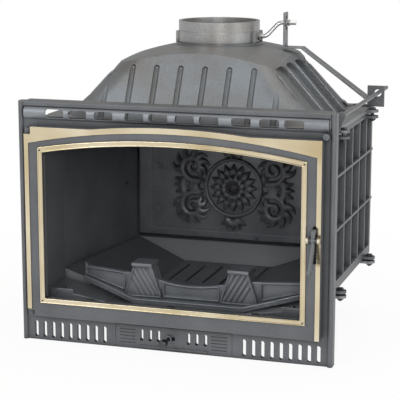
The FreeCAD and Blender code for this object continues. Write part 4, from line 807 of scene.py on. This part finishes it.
class INSERT_OT_trim(InsertOperator):
    """Rolled edges of the brass trim round the glass"""
    bl_idname = "insert.trim"
    bl_label = "Rolled trim edges"

    def execute(self, context):
        low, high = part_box("inner_trim")
        bead = sizes().trim_bead
        edges = []
        for inset in (bead, TRIM_WIDE - bead):
            corner = SIGHT_CORNER + TRIM_WIDE - inset
            loop = arched_loop(high.x - inset, low.z + inset, corner, high.z - inset)
            path = upright(even(loop, TRIM_STEP, True), low.y)
            edges.append(sweep(path, (0, -1, 0), bar(bead, around=16), True))
        piece("trim_rolled_edges", edges, FINISHES["brass"], "door", looped=True)
        return {"FINISHED"}


# Log guard and hood

# The log guard's rims and lip in millimetres across from its middle, back from its front, up from its foot
MIDDLE_PANEL_HALF, MIDDLE_PANEL_BACK, MIDDLE_PANEL_FOOT, MIDDLE_PANEL_HEAD = 68, 32, 13, 41
MIDDLE_PANEL_SAG_RADIUS = 352.2
WING_PANEL = ((166, 39.9, 20.7), (275, 65.3, 45.3), (275, 65.3, 62), (166, 39.9, 61.2))
DOG_RIM = ((73, 26, 12), (161, 26, 12), (138, 26, 83), (96, 26, 83))
GUARD_LIP = ((-276, 56, 42.6), (-132, 1.5, 9.5), (132, 1.5, 9.5), (276, 56, 42.6))
RIM_STEP, RIM_EASE = 2 * MM, 5
LIP_STEP = 4 * MM
# Ridges on a side of the hood: how far the row runs each way from its middle one, its place and spacing
RIDGE_REACH = 2
RIDGE_MIDDLE, RIDGE_SPACING = 303 * MM, 83 * MM
# Their foot above the hood's foot, the middle one's head, how others drop with the square of their number,
# and how far the end ones lean in
RIDGE_FOOT, RIDGE_HEAD, RIDGE_DROP, RIDGE_LEAN = 6 * MM, 646 * MM, 4 * MM, 23 * MM
RIDGE_END_SHARE = 1 / 24
# How far outside the hood the rays start that find its surface
RAY_START = 100 * MM


class INSERT_OT_guard(InsertOperator):
    """Raised rims round the log guard's panels and dogs, and its rolled lip"""
    bl_idname = "insert.guard"
    bl_label = "Log guard rims"

    def execute(self, context):
        low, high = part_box("log_guard")
        corner = ((low.x + high.x) / 2, low.y, low.z)
        section = bar(sizes().guard_bead, around=12)
        half, back = MIDDLE_PANEL_HALF, MIDDLE_PANEL_BACK
        x = np.linspace(half, -half, 25)
        sag = MIDDLE_PANEL_SAG_RADIUS - np.sqrt(MIDDLE_PANEL_SAG_RADIUS ** 2 - x ** 2)
        head = np.stack([x, np.full(len(x), back), MIDDLE_PANEL_HEAD + sag], axis=1)
        loops = [[(-half, back, MIDDLE_PANEL_FOOT), (half, back, MIDDLE_PANEL_FOOT), *head]]
        for side in (1, -1):
            loops += [np.array(rim) * (side, 1, 1) for rim in (WING_PANEL, DOG_RIM)]
        rims = []
        for loop in loops:
            path = eased(even(np.array(loop) * MM + corner, RIM_STEP, True), RIM_EASE)
            rims.append(sweep(path, (0, -1, 0), section, True))
        piece("guard_rims", rims, FINISHES["guard"], "firebox", looped=True)
        lip = sweep(even(np.array(GUARD_LIP) * MM + corner, LIP_STEP, False), (0, -1, 0), section)
        piece("guard_lip", [lip], FINISHES["guard"], "firebox")
        return {"FINISHED"}


class INSERT_OT_hood(InsertOperator):
    """Rounded ridges between the troughs on the hood's sides"""
    bl_idname = "insert.hood"
    bl_label = "Hood ridges"

    def execute(self, context):
        low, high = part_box("hood")
        foot, outside = low.z + RIDGE_FOOT, high.x + RAY_START
        t = np.linspace(0, 1, 24)
        swell = rounded(np.minimum(t, 1 - t), RIDGE_END_SHARE, least=0.01)
        section = bar(sizes().ridge, around=16) * swell[:, None, None]
        ridges = []
        for k in range(-RIDGE_REACH, RIDGE_REACH + 1):
            lean = -math.copysign(RIDGE_LEAN, k) if abs(k) == RIDGE_REACH else 0.0
            y = RIDGE_MIDDLE + k * RIDGE_SPACING + lean * t
            z = foot + (RIDGE_HEAD - RIDGE_DROP * k ** 2 - foot) * t
            for side in (1, -1):
                hits = [NODES["hood"].ray_cast((side * outside, *at), (-side, 0, 0)) for at in zip(y, z)]
                if not all(hit[0] for hit in hits):
                    raise RuntimeError("a ridge runs off the hood")
                ridges.append(sweep(np.array([hit[1] for hit in hits]), (0, 1, 0), section))
        piece("hood_ridges", ridges, FINISHES["hood"], "firebox")
        return {"FINISHED"}


# Handle and knob

# Depth and height of the lever's eye, and the direction that the grip's section stands in
LEVER_EYE = (-86 * MM, 234 * MM)
GRIP_UP = (0, -0.87, 0.49)
GRIP_BOW = 3 * MM
# The grip's half width and half depth at its hub, what they gain at the eye, and its two rounded ends
GRIP_HALF, GRIP_HALF_GAIN = 4.3 * MM, 2.4 * MM
GRIP_DEEP, GRIP_DEEP_GAIN = 5.0 * MM, 2.6 * MM
GRIP_HUB_SHARE, GRIP_EYE_SHARE = 0.06, 0.1
WASHER_BORE, WASHER_RADIUS, WASHER_THICK, WASHER_EASE = 4.2 * MM, 7.8 * MM, 1.6 * MM, 0.4 * MM
# Clearance between the washer and the air panel, along which it slides
WASHER_GAP = 0.6 * MM


def grip():
    """An oval bar from hub to eye, bowed by sin(pi t), whose section gains with t^4."""
    low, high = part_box("handle_lever")
    middle = (low.x + high.x) / 2
    hub = np.array((middle, *JOINTS["handle_turn"]["pos_m"][1:]))
    eye = np.array((middle, *LEVER_EYE))
    t = np.linspace(0, 1, 60)
    path = hub + (eye - hub) * t[:, None]
    path[:, 1] -= GRIP_BOW * np.sin(np.pi * t)
    ends = rounded(t, GRIP_HUB_SHARE, least=0.02) * rounded(1 - t, GRIP_EYE_SHARE, least=0.02)
    half = np.stack([GRIP_HALF + GRIP_HALF_GAIN * t ** 4, GRIP_DEEP + GRIP_DEEP_GAIN * t ** 4], axis=1)
    return sweep(path, GRIP_UP, bar(1, around=28) * (half * ends[:, None])[:, None])


def washer():
    """A flat ring with eased edges, turned about the slider's knob."""
    low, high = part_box("slider_knob")
    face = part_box("air_panel")[0].y
    centre = ((low.x + high.x) / 2, face - WASHER_GAP, (low.z + high.z) / 2)
    flat = WASHER_RADIUS - WASHER_EASE
    section = [
        (WASHER_BORE, 0), (flat, 0), (WASHER_RADIUS, WASHER_EASE),
        (WASHER_RADIUS, WASHER_THICK - WASHER_EASE), (flat, WASHER_THICK), (WASHER_BORE, WASHER_THICK),
    ]
    return np.swapaxes(turned(section, centre, (0, -1, 0), around=32), 0, 1)


class INSERT_OT_handle(InsertOperator):
    """Forged grip over the door lever, and the washer of the air slider's knob"""
    bl_idname = "insert.handle"
    bl_label = "Handle and knob"

    def execute(self, context):
        piece("lever_grip", [grip()], FINISHES["shell"], "handle")
        piece("knob_washer", [washer()], FINISHES["grille"], "slider", looped=True)
        return {"FINISHED"}


# Fixings

# Undersides of the ears that the tie bolts pass through, and the corner radius of the bolts' heads
EAR_SEATS = (("tie_bolts_low", 132 * MM), ("tie_bolts_high", 499 * MM))
HEAD_CORNER = 7.5 * MM
NUT_HIGH, NUT_BORE = 5.5 * MM, 3.9 * MM
THREAD_RADIUS, THREAD_PAST = 4.0 * MM, 3 * MM
# A sill plate's bolt: its size, and its place in from the plate's end, back from its front, under its top
SILL_BOLT_WIDE, SILL_BOLT_HIGH = 11 * MM, 5 * MM
SILL_BOLT_IN, SILL_BOLT_BACK, SILL_BOLT_DOWN = 37 * MM, 17.6 * MM, 4.7 * MM
SILL_BOLT_AXIS = (0, 0.24, 0.97)


class INSERT_OT_fixings(InsertOperator):
    """Nuts and threads of the tie bolts, and the bolts of the sill plates"""
    bl_idname = "insert.fixings"
    bl_label = "Nuts and threads"

    def execute(self, context):
        black = FINISHES["black"]
        pitch = sizes().pitch
        flat = HEAD_CORNER * math.cos(TURN / 12)
        nuts, threads = [], []
        for node, seat in EAR_SEATS:
            low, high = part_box(node)
            start = low.z - THREAD_PAST
            length = seat - low.z + THREAD_PAST
            for x in (high.x - HEAD_CORNER, low.x + HEAD_CORNER):
                for y in (low.y + flat, high.y - flat):
                    nuts.append(six_sided(sizes().nut, NUT_HIGH, (x, y, seat), (0, 0, -1), NUT_BORE))
                    threads.append(thread(THREAD_RADIUS, pitch, length, (x, y, start), (0, 0, 1)))
        piece("tie_nuts", nuts, black, "firebox", smooth=False)
        piece("tie_threads", threads, black, "firebox")
        low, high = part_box("sill_plates")
        bolts = []
        for x in (high.x - SILL_BOLT_IN, low.x + SILL_BOLT_IN):
            place = (x, low.y + SILL_BOLT_BACK, high.z - SILL_BOLT_DOWN)
            bolts.append(six_sided(SILL_BOLT_WIDE, SILL_BOLT_HIGH, place, SILL_BOLT_AXIS))
        piece("sill_bolts", bolts, black, "firebox", smooth=False)
        return {"FINISHED"}


# Stage

WHITE = (1, 1, 1)
PAPER = (0.85, 0.85, 0.85)
FLOOR_HALF = 40.0
# The floor lies a hair under the insert's foot, and is plain white from some way out
FLOOR_DROP = 0.2 * MM
GLOW_NEAR, GLOW_FAR = 0.5, 1.6
FILM_WIDE = 36.0
# Lamps: name, place, tilt and turn in degrees, width, share of the power, colour
LAMPS = (
    ("key_lamp", (-1.6, -2.6, 2.1), (60, -31), 1.6, 0.72, (0.93, 0.97, 1.0)),
    ("front_lamp", (1.3, -3.5, 1.8), (69, 20), 1.1, 1.15, WHITE),
    ("side_lamp", (2.8, -0.7, 1.4), (72, 75), 1.6, 0.4, WHITE),
    ("top_lamp", (0.2, 0.6, 3.0), (0, 0), 1.4, 0.5, (1.0, 0.87, 0.74)),
)


def paper_finish(stage):
    """White paper sweep: matt, and shown plain white with a share of the object's shadow."""
    made, tree = new_material("paper_sweep_white")
    rays = add(tree, "ShaderNodeLightPath")
    seen = add(tree, "ShaderNodeMath", {
        0: (rays, "Is Camera Ray"), 1: (rays, "Is Glossy Ray"),
    }, operation="MAXIMUM")
    seen = add(tree, "ShaderNodeMath", {
        0: (seen, 0), 1: (rays, "Is Transmission Ray"),
    }, operation="MAXIMUM")
    place = add(tree, "ShaderNodeTexCoord")
    away = add(tree, "ShaderNodeVectorMath", {0: (place, "Object")}, operation="LENGTH")
    glow = add(tree, "ShaderNodeMapRange", {
        "Value": (away, "Value"), "From Min": GLOW_NEAR, "From Max": GLOW_FAR, "To Min": stage.floor_glow,
    })
    share = add(tree, "ShaderNodeMath", {0: (seen, 0), 1: (glow, 0)}, operation="MULTIPLY")
    paper = add(tree, "ShaderNodeBsdfDiffuse", {"Color": rgba(PAPER)})
    white = add(tree, "ShaderNodeEmission", {"Color": rgba(WHITE), "Strength": 1.0})
    mix = add(tree, "ShaderNodeMixShader", {0: (share, 0), 1: (paper, 0), 2: (white, 0)})
    add(tree, "ShaderNodeOutputMaterial", {"Surface": (mix, 0)})
    return made


def studio_world(stage):
    """Soft light from all round, with a white background where the camera looks past the floor."""
    world = bpy.data.worlds.new("studio")
    world.use_nodes = True
    tree = world.node_tree
    tree.nodes.clear()
    rays = add(tree, "ShaderNodeLightPath")
    level = add(tree, "ShaderNodeMapRange", {"Value": (rays, "Is Camera Ray"), "To Min": stage.fill})
    back = add(tree, "ShaderNodeBackground", {"Color": rgba(WHITE), "Strength": (level, 0)})
    add(tree, "ShaderNodeOutputWorld", {"Surface": (back, 0)})
    return world


class INSERT_OT_stage(InsertOperator):
    """Floor, light and camera"""
    bl_idname = "insert.stage"
    bl_label = "Stage"

    def execute(self, context):
        stage = context.scene.insert_stage
        link = context.scene.collection.objects.link
        mesh = bpy.data.meshes.new("floor")
        ways = ((-1, -1), (1, -1), (1, 1), (-1, 1))
        corners = [(x * FLOOR_HALF, y * FLOOR_HALF, -FLOOR_DROP) for x, y in ways]
        mesh.from_pydata(corners, [], [(0, 1, 2, 3)])
        mesh.materials.append(paper_finish(stage))
        floor = bpy.data.objects.new("floor", mesh)
        link(floor)
        context.scene.world = studio_world(stage)
        for name, place, (tilt, turn), size, share, tint in LAMPS:
            light = bpy.data.lights.new(name, "AREA")
            light.energy = stage.power * share
            light.color = tint
            light.size = size
            lamp = bpy.data.objects.new(name, light)
            lamp.location = place
            lamp.rotation_euler = (math.radians(tilt), 0, math.radians(turn))
            link(lamp)
        lens = bpy.data.cameras.new("camera")
        lens.lens = stage.lens
        lens.sensor_width = FILM_WIDE
        camera = bpy.data.objects.new("camera", lens)
        camera.location = stage.place
        camera.rotation_euler = (math.pi / 2 - stage.pitch, 0, stage.yaw)
        link(camera)
        context.scene.camera = camera
        context.scene.view_settings.view_transform = "Standard"
        return {"FINISHED"}


class INSERT_PT_panel(bpy.types.Panel):
    """The insert's pieces in the sidebar"""
    bl_label = "Fireplace insert"
    bl_space_type = "VIEW_3D"
    bl_region_type = "UI"
    bl_category = "Insert"

    def draw(self, context):
        for step in STEPS:
            self.layout.operator(step.bl_idname)


STEPS = (INSERT_OT_finishes, INSERT_OT_relief, INSERT_OT_rope, INSERT_OT_trim, INSERT_OT_guard,
         INSERT_OT_hood, INSERT_OT_handle, INSERT_OT_fixings, INSERT_OT_stage)
CLASSES = (InsertLook, InsertSizes, StageLook, *STEPS, INSERT_PT_panel)


def register():
    """Registers the classes and their settings."""
    for made in CLASSES:
        bpy.utils.register_class(made)
    bpy.types.Scene.insert_look = PointerProperty(type=InsertLook)
    bpy.types.Scene.insert_sizes = PointerProperty(type=InsertSizes)
    bpy.types.Scene.insert_stage = PointerProperty(type=StageLook)


def unregister():
    """Takes the classes and their settings away."""
    del bpy.types.Scene.insert_stage
    del bpy.types.Scene.insert_sizes
    del bpy.types.Scene.insert_look
    for made in reversed(CLASSES):
        bpy.utils.unregister_class(made)


def main():
    """Dresses the insert."""
    register()
    bpy.ops.insert.finishes()
    bpy.ops.insert.relief()
    bpy.ops.insert.rope()
    bpy.ops.insert.trim()
    bpy.ops.insert.guard()
    bpy.ops.insert.hood()
    bpy.ops.insert.handle()
    bpy.ops.insert.fixings()
    bpy.ops.insert.stage()


if __name__ == "__main__":
    main()
